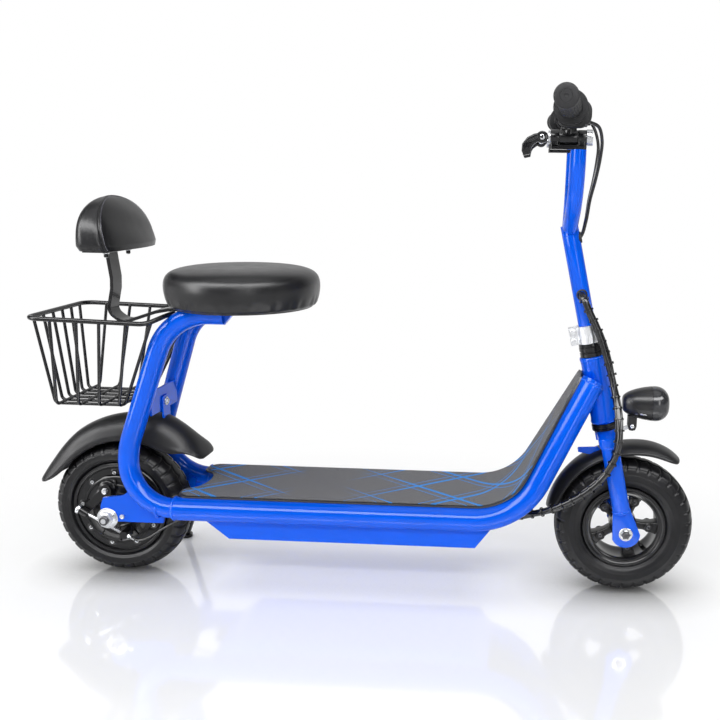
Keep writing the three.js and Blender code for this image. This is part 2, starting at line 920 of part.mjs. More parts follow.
// Shares of the pad's height, depth and width, from the flat bottom to the rounded top
const padShares = [
  [0, 0.9, 0.9], [0.03, 0.97, 0.955], [0.14, 1, 1], [0.4, 0.99, 0.99], [0.62, 0.95, 0.93],
  [0.8, 0.9, 0.8], [0.92, 0.8, 0.62], [0.98, 0.6, 0.45], [1, 0.3, 0.25],
];
// Shares of the half width and of the depth round one section of the pad
const padSectionShares = [
  [-1, 0.5], [-0.97, 0.18], [-0.85, 0.03], [-0.4, 0], [0, 0], [0.4, 0], [0.85, 0.03], [0.97, 0.18],
  [1, 0.5], [0.97, 0.8], [0.82, 0.93], [0.4, 0.99], [0, 1], [-0.4, 0.99], [-0.82, 0.93], [-0.97, 0.8],
];
const padRings = padShares.map(([height, depthShare, widthShare]) => {
  const full = padDepth + (padTopDepth - padDepth) * height;
  const depth = full * depthShare;
  const rear = padRearX + (full - depth) / 2;
  return padSectionShares.map(([across, along]) => point(
    rear + depth * along,
    across * widthShare * padHalfWidth,
    padBottomZ + height * padHeight,
  ));
});
piece(scooter, 'backrest_cushion', lofted(padRings), leather);

// Basket: rim, four wires across and six lengthwise, joined into one
const bothSides = (corners) => [
  ...corners,
  ...corners.map(([x, y, z]) => [x, -y, z]).reverse(),
].map((p) => point(...p));
const rimHeightAt = (x) => basketRimZ - (basketRimSag * (x - basketRearX)) / (basketSideX - basketRearX);
const rimCorners = bothSides([
  [basketRearX, basketHalfWidth, basketRimZ],
  [basketSideX, basketHalfWidth, rimHeightAt(basketSideX)],
  [basketFrontX, basketFrontHalf, basketFrontZ],
  [basketFrontX, basketDipOuter, basketFrontZ],
  [basketFrontX, basketDipInner, basketDipZ],
]);
const basketRim = loopWire(rounded(rimCorners, rimBends, true, wireBendStep), rimWireRadius, 6);
const crossWires = crossWireTops.map((top, i) => tube(
  rounded(bothSides([
    [top, basketHalfWidth, rimHeightAt(top)],
    [crossWireBottoms[i], floorHalfWidth, basketFloorZ],
  ]), crossWireBend, false, wireBendStep),
  wireRadius,
  5,
));
const longWireRoute = ({ rear, floor, front, frontX, frontZ }, side) => rounded([
  point(basketRearX, side * rear, basketRimZ),
  point(floorRearX, side * floor, basketFloorZ - wireRadius),
  point(floorFrontX, side * floor, basketFloorZ - wireRadius),
  point(frontX, side * front, frontZ),
], longWireBend, false, wireBendStep);
const longWires = longWireSpans.flatMap((span) => (
  [-1, 1].map((side) => tube(longWireRoute(span, side), wireRadius, 5))
));
piece(scooter, 'cargo_basket', joined(basketRim, ...crossWires, ...longWires), black);

// Shares of a fender's half width and edge drop, from edge to edge
const fenderShares = [[-1, 1], [-0.9, 0.42], [-0.5, 0.06], [0, 0], [0.5, 0.06], [0.9, 0.42], [1, 1]];

// A thin curved shell through stations of [angle in degrees, gap over the tyre, edge drop] about an axle
function fenderShell(stations, halfWidth) {
  return lofted(stations.map(([degrees, gap, drop]) => {
    const a = THREE.MathUtils.degToRad(degrees);
    const crown = tyreRadius + gap;
    const at = (across, depth) => point((crown - depth) * cos(a), across, (crown - depth) * sin(a));
    const outer = fenderShares.map(([w, d]) => at(w * halfWidth, d * drop));
    const innerHalf = halfWidth - fenderThickness;
    const inner = fenderShares.map(([w, d]) => at(w * innerHalf, d * drop + fenderThickness));
    return [...outer, ...inner.reverse()];
  }));
}

const rearFenderStations = [
  [161, 33, 8], [152, 31, 18], [141, 30, 20], [130, 33, 20], [119, 38, 20], [103, 45, 19],
  [85, 54, 19], [73, 64, 19], [64, 72, 22], [48, 70, 26], [32, 74, 14],
];
const tabX = gussetX + gussetThickness + fitGap;
const tabTop = gussetBottomZ + gussetHeight - fenderTabThickness;
const boltFaceX = tabX + fenderTabThickness + fenderBoltHead;
piece(scooter, 'rear_fender', joined(
  fenderShell(rearFenderStations, rearFenderHalfWidth).translate(0, 0, tyreRadius),
  box(
    tabX,
    tabX + fenderTabThickness,
    -fenderTabHalfWidth,
    fenderTabHalfWidth,
    tabTop - fenderTabHeight,
    tabTop,
  ),
  rodX(0, tabTop - fenderTabHalfWidth, tabX, boltFaceX, fenderBoltRadius, 12),
), black);

// Tyres: the lowest facet lies flat on the ground
const facetRadius = tyreRadius / cos(PI / tyreSegments);

function tyre(flangeRadius) {
  const seat = flangeRadius - flangeHeight + fitGap;
  const clear = flangeRadius + runningGap;
  const shoulder = facetRadius - shoulderDrop;
  const bulge = (clear + shoulder) / 2;
  const shoulderHalf = (tyreHalfWidth + treadHalfWidth) / 2 + tyreWall / 2;
  const half = [
    [facetRadius, treadHalfWidth],
    [shoulder, shoulderHalf],
    [bulge, tyreHalfWidth],
    [clear, beadHalfWidth],
    [seat, beadHalfWidth],
    [seat, beadHalfWidth - tyreWall],
    [bulge, tyreHalfWidth - tyreWall],
    [facetRadius - tyreWall, treadHalfWidth],
  ];
  const outline = [...half, ...half.map(([r, y]) => [r, -y]).reverse()];
  return turned([...outline, outline[0]], tyreSegments, PI / tyreSegments);
}

function rimOutline(flangeRadius) {
  const seat = flangeRadius - flangeHeight;
  const inside = rimHalfWidth - flangeThickness;
  const half = [[flangeRadius, rimHalfWidth], [flangeRadius, inside], [seat, inside]];
  return [...half, ...half.map(([r, y]) => [r, -y]).reverse()];
}

piece(frontWheel, 'front_tyre', tyre(frontFlangeRadius), rubber);
piece(rearWheel, 'rear_tyre', tyre(rearFlangeRadius), rubber);

function frontRim() {
  const inner = frontFlangeRadius - flangeHeight - rimWall;
  const outline = [[inner, rimHalfWidth], ...rimOutline(frontFlangeRadius), [inner, -rimHalfWidth]];
  const barrel = turned([...outline, outline[0]], tyreSegments, PI / tyreSegments);
  const hub = rodY(0, 0, -frontHubHalfLength, frontHubHalfLength, frontHubRadius, 20);
  const face = spokeThickness / 2;
  const spokes = Array.from({ length: spokeCount }, (_, i) => joined(
    box(0, inner + rimWall / 2, -face, face, -spokeWidth / 2, spokeWidth / 2),
    rodY(inner * rimBoltShare, 0, -face - rimBoltHead, face + rimBoltHead, rimBoltRadius, 8),
  ).rotateY(-firstSpokeAngle - (2 * PI * i) / spokeCount));
  const bore = rodY(0, 0, -2 * frontHubHalfLength, 2 * frontHubHalfLength, spindleRadius + runningGap, 20);
  return cutBy(joined(barrel, hub, ...spokes), bore);
}
piece(frontWheel, 'front_rim', frontRim(), black);

const drumInnerY = drumDepth - rimHalfWidth;
const discInnerY = rimHalfWidth - sideDiscThickness;
const hubBore = spindleRadius + runningGap;

function hubShell() {
  const outline = [
    [hubBore, rimHalfWidth + hubBossHeight],
    [hubBossRadius, rimHalfWidth + hubBossHeight],
    [hubBossRadius, rimHalfWidth],
    ...rimOutline(rearFlangeRadius),
    [drumRadius, -rimHalfWidth],
    [drumRadius, drumInnerY],
    [hubBore, drumInnerY],
    [hubBore, drumInnerY + drumFloor],
    [magnetRadius, drumInnerY + drumFloor],
    [magnetRadius, discInnerY],
    [hubBore, discInnerY],
  ];
  return turned([...outline, outline[0]], tyreSegments, PI / tyreSegments);
}
piece(rearWheel, 'rear_hub_shell', hubShell(), black);
piece(rearWheel, 'motor_stator', ring(
  spindleRadius + fitGap,
  magnetRadius - statorGap,
  drumInnerY + drumFloor + statorClearance,
  discInnerY - statorClearance,
  32,
), steel);

// Backing plate of the drum brake, with its sleeve, shoes, cam boss and cable anchor
const plateInnerY = -rimHalfWidth - backingGap;
const plateOuterY = plateInnerY - backingThickness;
const bossOuterY = plateOuterY - camBossHeight;
const cableDirection = point(anchorX - armEndX, 0, anchorZ - armEndZ).normalize();
const anchorPoint = point(anchorX, brakeCableY, anchorZ);
const armEnd = point(armEndX, brakeCableY, armEndZ);

function backingPlate() {
  const shoes = cutBy(
    ring(
      drumRadius - shoeGap - shoeThickness,
      drumRadius - shoeGap,
      plateInnerY - fitGap,
      plateInnerY + shoeDepth,
      24,
    ),
    box(-drumRadius, drumRadius, plateInnerY, overrun, -shoeSplit / 2, shoeSplit / 2),
  );
  const body = joined(
    ring(spindleRadius + fitGap, backingRadius, plateOuterY, plateInnerY, 28),
    ring(spindleRadius + fitGap, sleeveRadius, fitGap - dropoutY, plateInnerY, 28),
    shoes,
    rodY(camX, camZ, bossOuterY, plateInnerY, camBossRadius, 16),
    box(
      anchorX - anchorHalfSize,
      anchorX + anchorHalfSize,
      brakeCableY - anchorHalfSize,
      plateInnerY,
      anchorZ - anchorHalfSize,
      anchorZ + anchorHalfSize,
    ),
  );
  const reach = cableDirection.clone().multiplyScalar(overrun);
  return cutBy(
    body,
    rodY(camX, camZ, bossOuterY - overrun, bossOuterY + camPinLength + runningGap, camPinRadius + runningGap),
    rod(anchorPoint.clone().sub(reach), anchorPoint.clone().add(reach), anchorBore),
  );
}
piece(rearWheel, 'brake_backing_plate', backingPlate(), darkMetal);

// Brake arm: cam pin, hub, web, and the barrel that the cable's end goes into
function brakeArm() {
  const face = bossOuterY - runningGap;
  const far = face - armThickness;
  const half = cableDirection.clone().multiplyScalar(adjusterLength / 2);
  const lean = point(camX - armEndX, 0, camZ - armEndZ).normalize();
  const edge = [-lean.z * armEndRadius, lean.x * armEndRadius];
  const web = sidePlate([
    [armEndX + edge[0], armEndZ + edge[1]],
    [camX + edge[0], camZ + edge[1]],
    [camX - edge[0], camZ - edge[1]],
    [armEndX - edge[0], armEndZ - edge[1]],
  ], far, face);
  const body = joined(
    rodY(camX, camZ, far, bossOuterY + camPinLength, camPinRadius),
    rodY(camX, camZ, far, face, armHubRadius, 20),
    web,
    rod(armEnd.clone().sub(half), armEnd.clone().add(half), adjusterRadius),
  );
  return cutBy(body, rod(armEnd, armEnd.clone().addScaledVector(half, 2), anchorBore));
}
piece(rearWheel, 'brake_arm', brakeArm(), darkMetal);

piece(scooter, 'rear_brake_cable', tube([
  armEnd.clone().addScaledVector(cableDirection, fitGap).add(rearWheel.position),
  anchorPoint.clone().addScaledVector(cableDirection, anchorHalfSize).add(rearWheel.position),
  ...[
    [44, -52, -81], [66, -57, -73], [90, -60, -57], [126, -62, -35], [170, -60, -15], [205, -58, -12],
    [236, -56, -16],
  ].map(([x, y, z]) => point(x, y, runHeight + z)),
], brakeCableRadius, 8), black);

// Rear axle with its two nuts, each nut in one piece with its washer
const dropoutOuterY = dropoutY + dropoutThickness;
const rearStubEnd = dropoutOuterY + fitGap + washerThickness + nutHeight + stubLength;
piece(rearWheel, 'rear_axle', turned([
  [0, -rearStubEnd],
  [axleNeckRadius, -rearStubEnd],
  [axleNeckRadius, fitGap - dropoutY],
  [spindleRadius, fitGap - dropoutY],
  [spindleRadius, rimHalfWidth + hubBossHeight + runningGap],
  [axleShoulderRadius, rimHalfWidth + hubBossHeight + runningGap],
  [axleShoulderRadius, dropoutY - fitGap],
  [axleNeckRadius, dropoutY - fitGap],
  [axleNeckRadius, rearStubEnd],
  [0, rearStubEnd],
], 16), steel);
const nutInnerY = dropoutOuterY + fitGap;
const nutShape = cutBy(
  joined(
    rodY(0, 0, -nutInnerY - washerThickness, -nutInnerY, washerRadius, 20),
    rodY(0, 0, -nutInnerY - washerThickness - nutHeight, -nutInnerY, nutRadius, nutSides),
  ),
  rodY(0, 0, -nutInnerY - overrun, overrun - nutInnerY, axleNeckRadius + fitGap, 16),
);
piece(rearWheel, 'right_axle_nut', nutShape, steel);
piece(rearWheel, 'left_axle_nut', mirrorY(nutShape), steel);

// Front axle, with its spacers, washers and nuts
const forkEndInnerY = legSpacing - forkEndThickness / 2;
const forkEndOuterY = legSpacing + forkEndThickness / 2;
const washerOuterY = forkEndOuterY + fitGap + frontWasherThickness;
const frontAxleHalf = [
  [spindleRadius, frontHubHalfLength + runningGap],
  [frontSpacerRadius, frontHubHalfLength + runningGap],
  [frontSpacerRadius, forkEndInnerY - fitGap],
  [axleNeckRadius, forkEndInnerY - fitGap],
  [axleNeckRadius, forkEndOuterY + fitGap],
  [frontWasherRadius, forkEndOuterY + fitGap],
  [frontWasherRadius, washerOuterY],
  [frontNutRadius, washerOuterY],
  [frontNutRadius, washerOuterY + frontNutHeight],
  [0, washerOuterY + frontNutHeight],
];
piece(frontWheel, 'front_axle', turned(
  [...frontAxleHalf.map(([r, y]) => [r, -y]).reverse(), ...frontAxleHalf],
  16,
), steel);

// Fork: steerer, crown, legs and the plates that hold the front axle
function forkShape() {
  const legs = [-legSpacing, legSpacing].flatMap((y) => [
    rodZ(0, y, legBottom, crownBottom + crownHeight / 2, legRadius, 16),
    rodY(0, 0, y - forkEndThickness / 2, y + forkEndThickness / 2, forkEndRadius, 24),
    box(
      -forkTongueHalfWidth,
      forkTongueHalfWidth,
      y - forkEndThickness / 2,
      y + forkEndThickness / 2,
      0,
      legBottom + overrun,
    ),
  ]);
  const crown = box(
    -crownHalfDepth,
    crownHalfDepth,
    -crownHalfLength,
    crownHalfLength,
    crownBottom,
    crownTop,
  );
  const steerer = rodZ(0, 0, crownBottom, steererTop, steererRadius, 24);
  const bore = rodY(0, 0, -2 * crownHalfLength, 2 * crownHalfLength, axleSlotRadius, 16);
  return cutBy(joined(crown, steerer, ...legs), bore);
}
piece(raked, 'front_fork', forkShape(), blue);

const frontFenderStations = [
  [53, 33, 5], [62, 35, 12], [74, 34, 15], [86, 30, 15], [98, 26.5, 15], [110, 24, 15],
  [124, 22, 15], [140, 20, 15], [156, 19, 15], [168, 19, 11],
];
const fenderBoss = inFrontEnd(
  rodZ(0, 0, crownBottom - 3 * fenderBossRadius / 2, crownBottom - fitGap, fenderBossRadius, 16),
);
piece(frontEnd, 'front_fender', joined(
  fenderShell(frontFenderStations, frontFenderHalfWidth).translate(0, 0, tyreRadius),
  fenderBoss,
), black);

// Stem
const axisHeight = (z) => (z - tyreRadius) / cos(rakeAngle);
const stemBlank = upright(turned([
  [0, stemTop],
  [stemRadius, stemTop],
  [stemRadius, stemBottom],
  [stemBore, stemBottom],
  [stemBore, stemTop - stemCap],
  [0, stemTop - stemCap],
], 24));
piece(raked, 'stem_tube', cutBy(
  stemBlank,
  rodY(0, axisHeight(loomHoleZ), -2 * stemRadius, 0, loomHoleRadius, 14),
  rodX(0, axisHeight(cableHoleZ), 0, 2 * stemRadius, cableHoleRadius, 14),
), blue);

function stemClamp() {
  const clampTop = clampBottom + clampHeight;
  const split = stemBottom - fitGap / 2;
  const body = joined(
    rodZ(0, 0, clampBottom, clampTop, clampRadius, 24),
    box(-clampEarReach, 0, -clampEarHalfWidth, clampEarHalfWidth, clampBottom + fitGap, clampTop - fitGap),
  );
  const open = cutBy(
    body,
    rodZ(0, 0, clampBottom - overrun, split, steererRadius + runningGap, 24),
    rodZ(0, 0, split, clampTop + overrun, stemRadius + runningGap, 24),
    box(-2 * clampEarReach, 0, -clampSlit / 2, clampSlit / 2, clampBottom - overrun, clampTop + overrun),
  );
  const boltX = -(clampRadius + clampEarReach) / 2;
  const boltEnd = clampEarHalfWidth + clampBoltHead;
  const bolts = [clampBottom + clampHeight / 4, clampTop - clampHeight / 4].flatMap((z) => [
    rodY(boltX, z, -boltEnd, boltEnd, clampBoltRadius, 8),
    rodY(boltX, z, -boltEnd, -clampEarHalfWidth, clampBoltRadius * sqrt(2), 8),
  ]);
  return joined(open, ...bolts);
}
piece(raked, 'stem_clamp', stemClamp(), aluminium);

// Handlebar posts, with the fixed half of the folding hinge on top
const postRoute = rounded([
  point(postRootX, -postRootY, postRootZ),
  point(postElbowX, -barHalfSpacing, postElbowZ),
  point(postTopX, -barHalfSpacing, saddleZ + fitGap),
], postBend);
const hingeRear = barrelX - barrelHalfLength;
const hingeFront = barrelX + barrelHalfLength;
const saddleOuterY = -barHalfSpacing - saddleHalfWidth;
const saddleInnerY = saddleHalfWidth - barHalfSpacing;

function knuckle(x0, x1) {
  return joined(
    rodX(-barHalfSpacing, barrelZ, x0, x1, barrelRadius, 18),
    box(x0, x1, saddleOuterY, saddleInnerY, saddleZ, barrelZ),
  );
}

function barPost() {
  const reach = 2 * overrun;
  const column = largestPart(cutBy(
    tube(postRoute, postRadius, 12),
    inFrontEnd(axisCutter(stemRadius + fitGap, stemBottom, stemTop + fitGap)),
    box(postRootX - reach, postRootX + reach, -fitGap / 2, reach, postRootZ - reach, saddleZ),
  ));
  const head = joined(
    column,
    box(hingeRear, hingeFront, saddleOuterY, saddleInnerY, saddleZ, saddleZ + saddleThickness),
    knuckle(hingeRear, hingeRear + knuckleLength),
    knuckle(hingeFront - knuckleLength, hingeFront),
  );
  return cutBy(head, rodX(-barHalfSpacing, barrelZ, hingeRear - overrun, hingeFront + overrun, pinBore, 16));
}

// Hinge pin: front head, shank, rear washer, and the eye that the fold lever turns on
function hingePin() {
  const y = -barHalfSpacing;
  const washerFront = hingeRear - fitGap;
  const body = joined(
    rodX(y, barrelZ, washerFront - pinWasherLength, hingeFront + pinHeadLength, pinRadius, 12),
    rodX(y, barrelZ, hingeFront + fitGap, hingeFront + pinHeadLength, pinHeadRadius, 18),
    rodX(y, barrelZ, washerFront - pinWasherLength, washerFront, pinWasherRadius, 16),
    box(
      leverPinX,
      washerFront,
      y - eyeHalfWidth,
      y + eyeHalfWidth,
      barrelZ - neckHalfHeight,
      barrelZ + neckHalfHeight,
    ),
    rodY(leverPinX, barrelZ, y - eyeHalfWidth, y + eyeHalfWidth, eyeRadius, 14),
  );
  return cutBy(body, rodY(leverPinX, barrelZ, y - overrun, y + overrun, crossPinRadius + runningGap, 12));
}

// Shares of the fold lever's length and hook, from the cam round the finger hook and back
const foldLeverShares = [
  [0.1, 0.24], [0.55, 0.2], [0.9, 0], [1, -0.35], [0.9, -0.8], [0.66, -1], [0.45, -0.92],
  [0.68, -0.55], [0.66, -0.3], [0.4, -0.2], [0.1, -0.24],
];

function foldLever() {
  const [low, high] = [-barHalfSpacing - leverHalfWidth, leverHalfWidth - barHalfSpacing];
  const outline = foldLeverShares.map(([along, up]) => [
    leverPinX - along * leverLength,
    barrelZ + up * leverHook,
  ]);
  const blank = joined(
    rodY(leverPinX, barrelZ, low, high, leverDiscRadius, 16),
    sidePlate(outline, low, high),
  );
  const slot = box(
    leverPinX - leverDiscRadius - runningGap,
    leverPinX + overrun,
    -barHalfSpacing - eyeHalfWidth - fitGap,
    eyeHalfWidth + fitGap - barHalfSpacing,
    barrelZ - overrun,
    barrelZ + overrun,
  );
  return joined(cutBy(blank, slot), rodY(leverPinX, barrelZ, low, high, crossPinRadius, 8));
}

// Moving half of the hinge and the bar itself
const barElbow = point(barElbowX, -barHalfSpacing, barElbowZ);
const barEnd = point(barEndX, -barEndY, barEndZ);
const barDirection = barEnd.clone().sub(barElbow).normalize();
const barLength = barElbow.distanceTo(barEnd);
const alongBar = (distance) => barElbow.clone().addScaledVector(barDirection, distance);
const barRoom = rod(alongBar(0), alongBar(barLength), barRadius + runningGap, 20);

function barHalf() {
  const route = rounded([point(barrelX, -barHalfSpacing, barrelZ), barElbow, barEnd], barBend);
  const inner = knuckleLength + knucklePlay;
  const body = joined(
    rodX(-barHalfSpacing, barrelZ, hingeRear + inner, hingeFront - inner, barrelRadius, 18),
    tube(route, barRadius, 12),
  );
  return cutBy(body, rodX(-barHalfSpacing, barrelZ, hingeRear, hingeFront, pinBore, 16));
}

function gripShape() {
  const bore = barRadius + runningGap;
  const wall = barLength + runningGap;
  const end = wall + gripEndWall;
  const flangeEnd = gripStart + gripFlangeThickness;
  const turn = new THREE.Quaternion().setFromUnitVectors(point(0, 1, 0), barDirection);
  return turned([
    [bore, gripStart],
    [gripFlangeRadius, gripStart],
    [gripFlangeRadius, flangeEnd],
    [gripRadius, flangeEnd],
    [gripRadius, end - 4 * gripEndWall],
    [gripLipRadius, end - 3 * gripEndWall],
    [gripLipRadius, end - gripEndWall],
    [gripRadius - gripEndWall, end],
    [gripEndHole, end],
    [gripEndHole, wall],
    [bore, wall],
    [bore, gripStart],
  ], 20).applyQuaternion(turn).translate(barElbow.x, barElbow.y, barElbow.z);
}

[-1, 1].forEach((side) => {
  const name = sideName(side);
  piece(frontEnd, `${name}_bar_post`, bySide(side, barPost()), blue);
  piece(frontEnd, `${name}_hinge_pin`, bySide(side, hingePin()), steel);
  piece(frontEnd, `${name}_fold_lever`, bySide(side, foldLever()), black);
  piece(frontEnd, `${name}_handlebar`, bySide(side, barHalf()), black);
});
piece(frontEnd, 'throttle_grip', gripShape(), rubber);
piece(frontEnd, 'left_grip', mirrorY(gripShape()), rubber);

// Throttle housing with two push buttons on its rear face
const housingMiddleY = -housingInnerY - housingWidth / 2;

function throttleHousing() {
  const [x1, z1] = [housingX + housingDepth, housingZ + housingHeight];
  const outline = [
    [housingX, housingZ + housingCorner],
    [housingX + housingCorner, housingZ],
    [x1 - housingCorner, housingZ],
    [x1, housingZ + housingCorner],
    [x1, z1 - housingCorner],
    [x1 - housingCorner, z1],
    [housingX + housingCorner / 2, z1],
    [housingX, z1 - housingCorner / 2],
  ];
  const pocketEnd = housingX + buttonLength - buttonProud + buttonTravelRoom;
  const pockets = [upperButtonZ, lowerButtonZ].map((z) => (
    rodX(housingMiddleY, z, housingX - overrun, pocketEnd, buttonRadius + runningGap, 14)
  ));
  return cutBy(
    sidePlate(outline, -housingInnerY - housingWidth, -housingInnerY),
    barRoom,
    ...pockets,
  );
}
piece(frontEnd, 'throttle_housing', throttleHousing(), black);
[['upper_button', upperButtonZ], ['lower_button', lowerButtonZ]].forEach(([name, z]) => {
  const rear = housingX - buttonProud;
  piece(frontEnd, name, rodX(housingMiddleY, z, rear, rear + buttonLength, buttonRadius, 14), darkMetal);
});

// Brake lever and its clamp, laid out on the right and mirrored to the left
const bladeZ = barElbowZ;
const bladeHalf = leverBladeHeight / 2;
const leverForkLow = bladeZ - bladeHalf - runningGap;
const leverForkHigh = bladeZ + bladeHalf + runningGap;

function leverMount() {
  const start = alongBar(leverRingStart);
  const end = alongBar(leverRingStart + leverRingLength);
  const [low, high] = [leverForkLow - leverCheek, leverForkHigh + leverCheek];
  const block = box(
    start.x,
    leverPivotX + leverEyeRadius,
    -leverPivotY - leverForkHalfWidth,
    leverForkHalfWidth - leverPivotY,
    low,
    high,
  );
  const slot = box(
    leverPivotX - leverEyeRadius - 2 * runningGap,
    leverPivotX + overrun,
    -leverPivotY - overrun,
    overrun - leverPivotY,
    leverForkLow,
    leverForkHigh,
  );
  return joined(
    cutBy(joined(rod(start, end, leverRingRadius, 20), block), slot, barRoom),
    rodZ(leverPivotX, -leverPivotY, low, high, leverPinRadius, 12),
  );
}

function brakeLever() {
  const y = -leverPivotY;
  const half = leverBladeWidth / 2;
  const outline = [
    [leverPivotX - half, y],
    [leverPivotX - half, y - 2 * leverEyeRadius],
    [leverTipX - half, half - leverTipY],
    [leverTipX, -leverTipY],
    [leverTipX + half, half - leverTipY],
    [leverPivotX + leverEyeRadius, y - 3 * leverEyeRadius],
    [leverPivotX + half, y],
  ];
  const blade = joined(
    flatPlate(outline, bladeZ - bladeHalf, bladeZ + bladeHalf),
    rodZ(leverPivotX, y, bladeZ - bladeHalf, bladeZ + bladeHalf, leverEyeRadius, 20),
  );
  const bore = rodZ(leverPivotX, y, bladeZ - overrun, bladeZ + overrun, leverPinRadius + runningGap, 16);
  return cutBy(blade, bore);
}
piece(frontEnd, 'brake_lever_mount', mirrorY(leverMount()), black);
piece(frontEnd, 'brake_lever', mirrorY(brakeLever()), black);

// Headlight: rounded sections of [share of the depth, share of the half height and width]
const squareness = 0.7;
const softened = (value) => Math.sign(value) * Math.abs(value) ** squareness;

function lampShell(sections, x, depth) {
  return lofted(sections.map(([along, size]) => Array.from({ length: lampSides }, (_, i) => {
    const a = (2 * PI * i) / lampSides;
    return point(
      x + along * depth,
      softened(cos(a)) * lampHalfWidth * size,
      lampZ + softened(sin(a)) * lampHalfHeight * size,
    );
  })));
}
const lampShares = [[0, 0.45], [0.06, 0.66], [0.25, 0.86], [0.6, 0.98], [1, 1]];
const lensShares = [[0, 0.98], [0.35, 0.95], [0.7, 0.82], [0.92, 0.6], [1, 0.35]];

function lampHousing() {
  const inner = lampTongueHalfWidth + runningGap;
  const outer = inner + lampLugThickness;
  const lug = box(
    lampPivotX - lampLugHalfDepth,
    lampPivotX + lampLugHalfDepth,
    inner,
    outer,
    lampPivotZ - lampLugHalfDepth,
    lampZ,
  );
  return joined(
    lampShell(lampShares, lampX, lampSplitX - lampX),
    lug,
    mirrorY(lug),
    rodY(lampPivotX, lampPivotZ, -outer, outer, lampPinRadius, 12),
  );
}
piece(frontEnd, 'headlight_housing', lampHousing(), black);
const lensX = lampSplitX + fitGap;
piece(frontEnd, 'headlight_lens', lampShell(lensShares, lensX, lampFrontX - lensX), lampGlass);

function lampBracket() {
  const foot = inFrontEnd(box(
    crownHalfDepth + fitGap,
    crownHalfDepth + fitGap + lampFootThickness,
    -lampFootHalfWidth,
    lampFootHalfWidth,
    crownBottom + fitGap,
    crownTop - fitGap,
  ));
  const root = point(crownHalfDepth + fitGap + lampFootThickness / 2, 0, (crownBottom + crownTop) / 2);
  const start = root.applyMatrix4(raked.matrix);
  const end = point(lampPivotX, 0, lampPivotZ);
  const body = joined(
    foot,
    swept(rectangle(2 * lampTongueHalfWidth, 2 * lampTongueHalfWidth), [start, end]),
    rodY(lampPivotX, lampPivotZ, -lampTongueHalfWidth, lampTongueHalfWidth, 2 * lampPinRadius, 20),
  );
  return cutBy(body, rodY(lampPivotX, lampPivotZ, -overrun, overrun, lampPinRadius + runningGap, 20));
}
piece(frontEnd, 'headlight_bracket', lampBracket(), black);

function kickstand() {
  const eyeY = standLugY + standLugThickness + runningGap;
  const hub = point(standX, eyeY + standEyeLength / 2, standZ);
  const foot = point(standFootX, standFootY, standFootHeight / 2);
  const room = standPinRadius + runningGap;
  const legStart = hub.clone().lerp(foot, (standEyeRadius - runningGap) / hub.distanceTo(foot));
  return cutBy(
    joined(
      rodY(standX, standZ, eyeY, eyeY + standEyeLength, standEyeRadius, 20),
      rod(legStart, foot, standLegRadius, 14),
      rodZ(standFootX, standFootY, 0, standFootHeight, standFootRadius, 20),
    ),
    rodY(standX, standZ, eyeY - overrun, eyeY + overrun, room, 16),
    rodY(standX, standZ, eyeY + standEyeLength, eyeY + 2 * standEyeLength, standPinHead + runningGap, 16),
    box(
      standFootX - overrun,
      standFootX + overrun,
      standFootY - overrun,
      standFootY + overrun,
      -overrun,
      0,
    ),
  );
}
piece(scooter, 'kickstand_leg', kickstand(), darkMetal);

// Cords, each through hand-chosen points
piece(frontEnd, 'cable_loom', cord([
  [steeringX(loomHoleZ), -3, loomHoleZ], [-92.4, -19, loomHoleZ - 1], [-88, -29, 543], [-79, -32, 524],
  [-63, -34, 492], [-50, -38, 455],
  [-36, -44, 410], [-28, -56, 372], [-23, -74, 338], [-22, -83, 310], [-27, -85, 282], [-44, -85, 245],
  [-69, -84, 217], [-103, -80, 192], [-146, -70, 169], [-176, -60, 158], [-211, -54, 150], [-246, -50, 147],
  [-278, -47, 145],
], loomRadius, 26), black);
piece(frontEnd, 'throttle_cable', cord([
  [-106, 2 - housingInnerY, 838], [-106, -108, 838], [-97, -99, 837], [-81, -88, 831], [-73, -70, 811],
  [-73, -50, 784],
  [-78, -32, 749], [-85, -18, 715], [-90, -cableHalfSpacing - 4, 677], [-97, -cableHalfSpacing, 652],
  [-108, -cableHalfSpacing, 643],
], cableRadius, 17), black);
piece(frontEnd, 'brake_cable', cord([
  [-84, leverPivotY - leverForkHalfWidth - fitGap, bladeZ], [-80, 106, 848], [-73, 88, 832], [-69, 66, 806],
  [-72, 48, 778], [-78, 31, 745], [-85, 17, 713], [-90, cableHalfSpacing + 4, 677],
  [-97, cableHalfSpacing, 652], [-108, cableHalfSpacing, 643],
], cableRadius, 17), black);

// Centres the object on its length, with the ground at Z = 0
const bounds = new THREE.Box3().setFromObject(scooter, true);
scooter.position.x = -(bounds.min.x + bounds.max.x) / 2;
scooter.position.y = -(bounds.min.y + bounds.max.y) / 2;
scooter.position.z = -bounds.min.z;
const group = new THREE.Group();
group.add(scooter);
group.updateMatrixWorld(true);

export default group;
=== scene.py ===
import math

import bmesh
import bpy
import numpy as np
from mathutils import Matrix, Vector


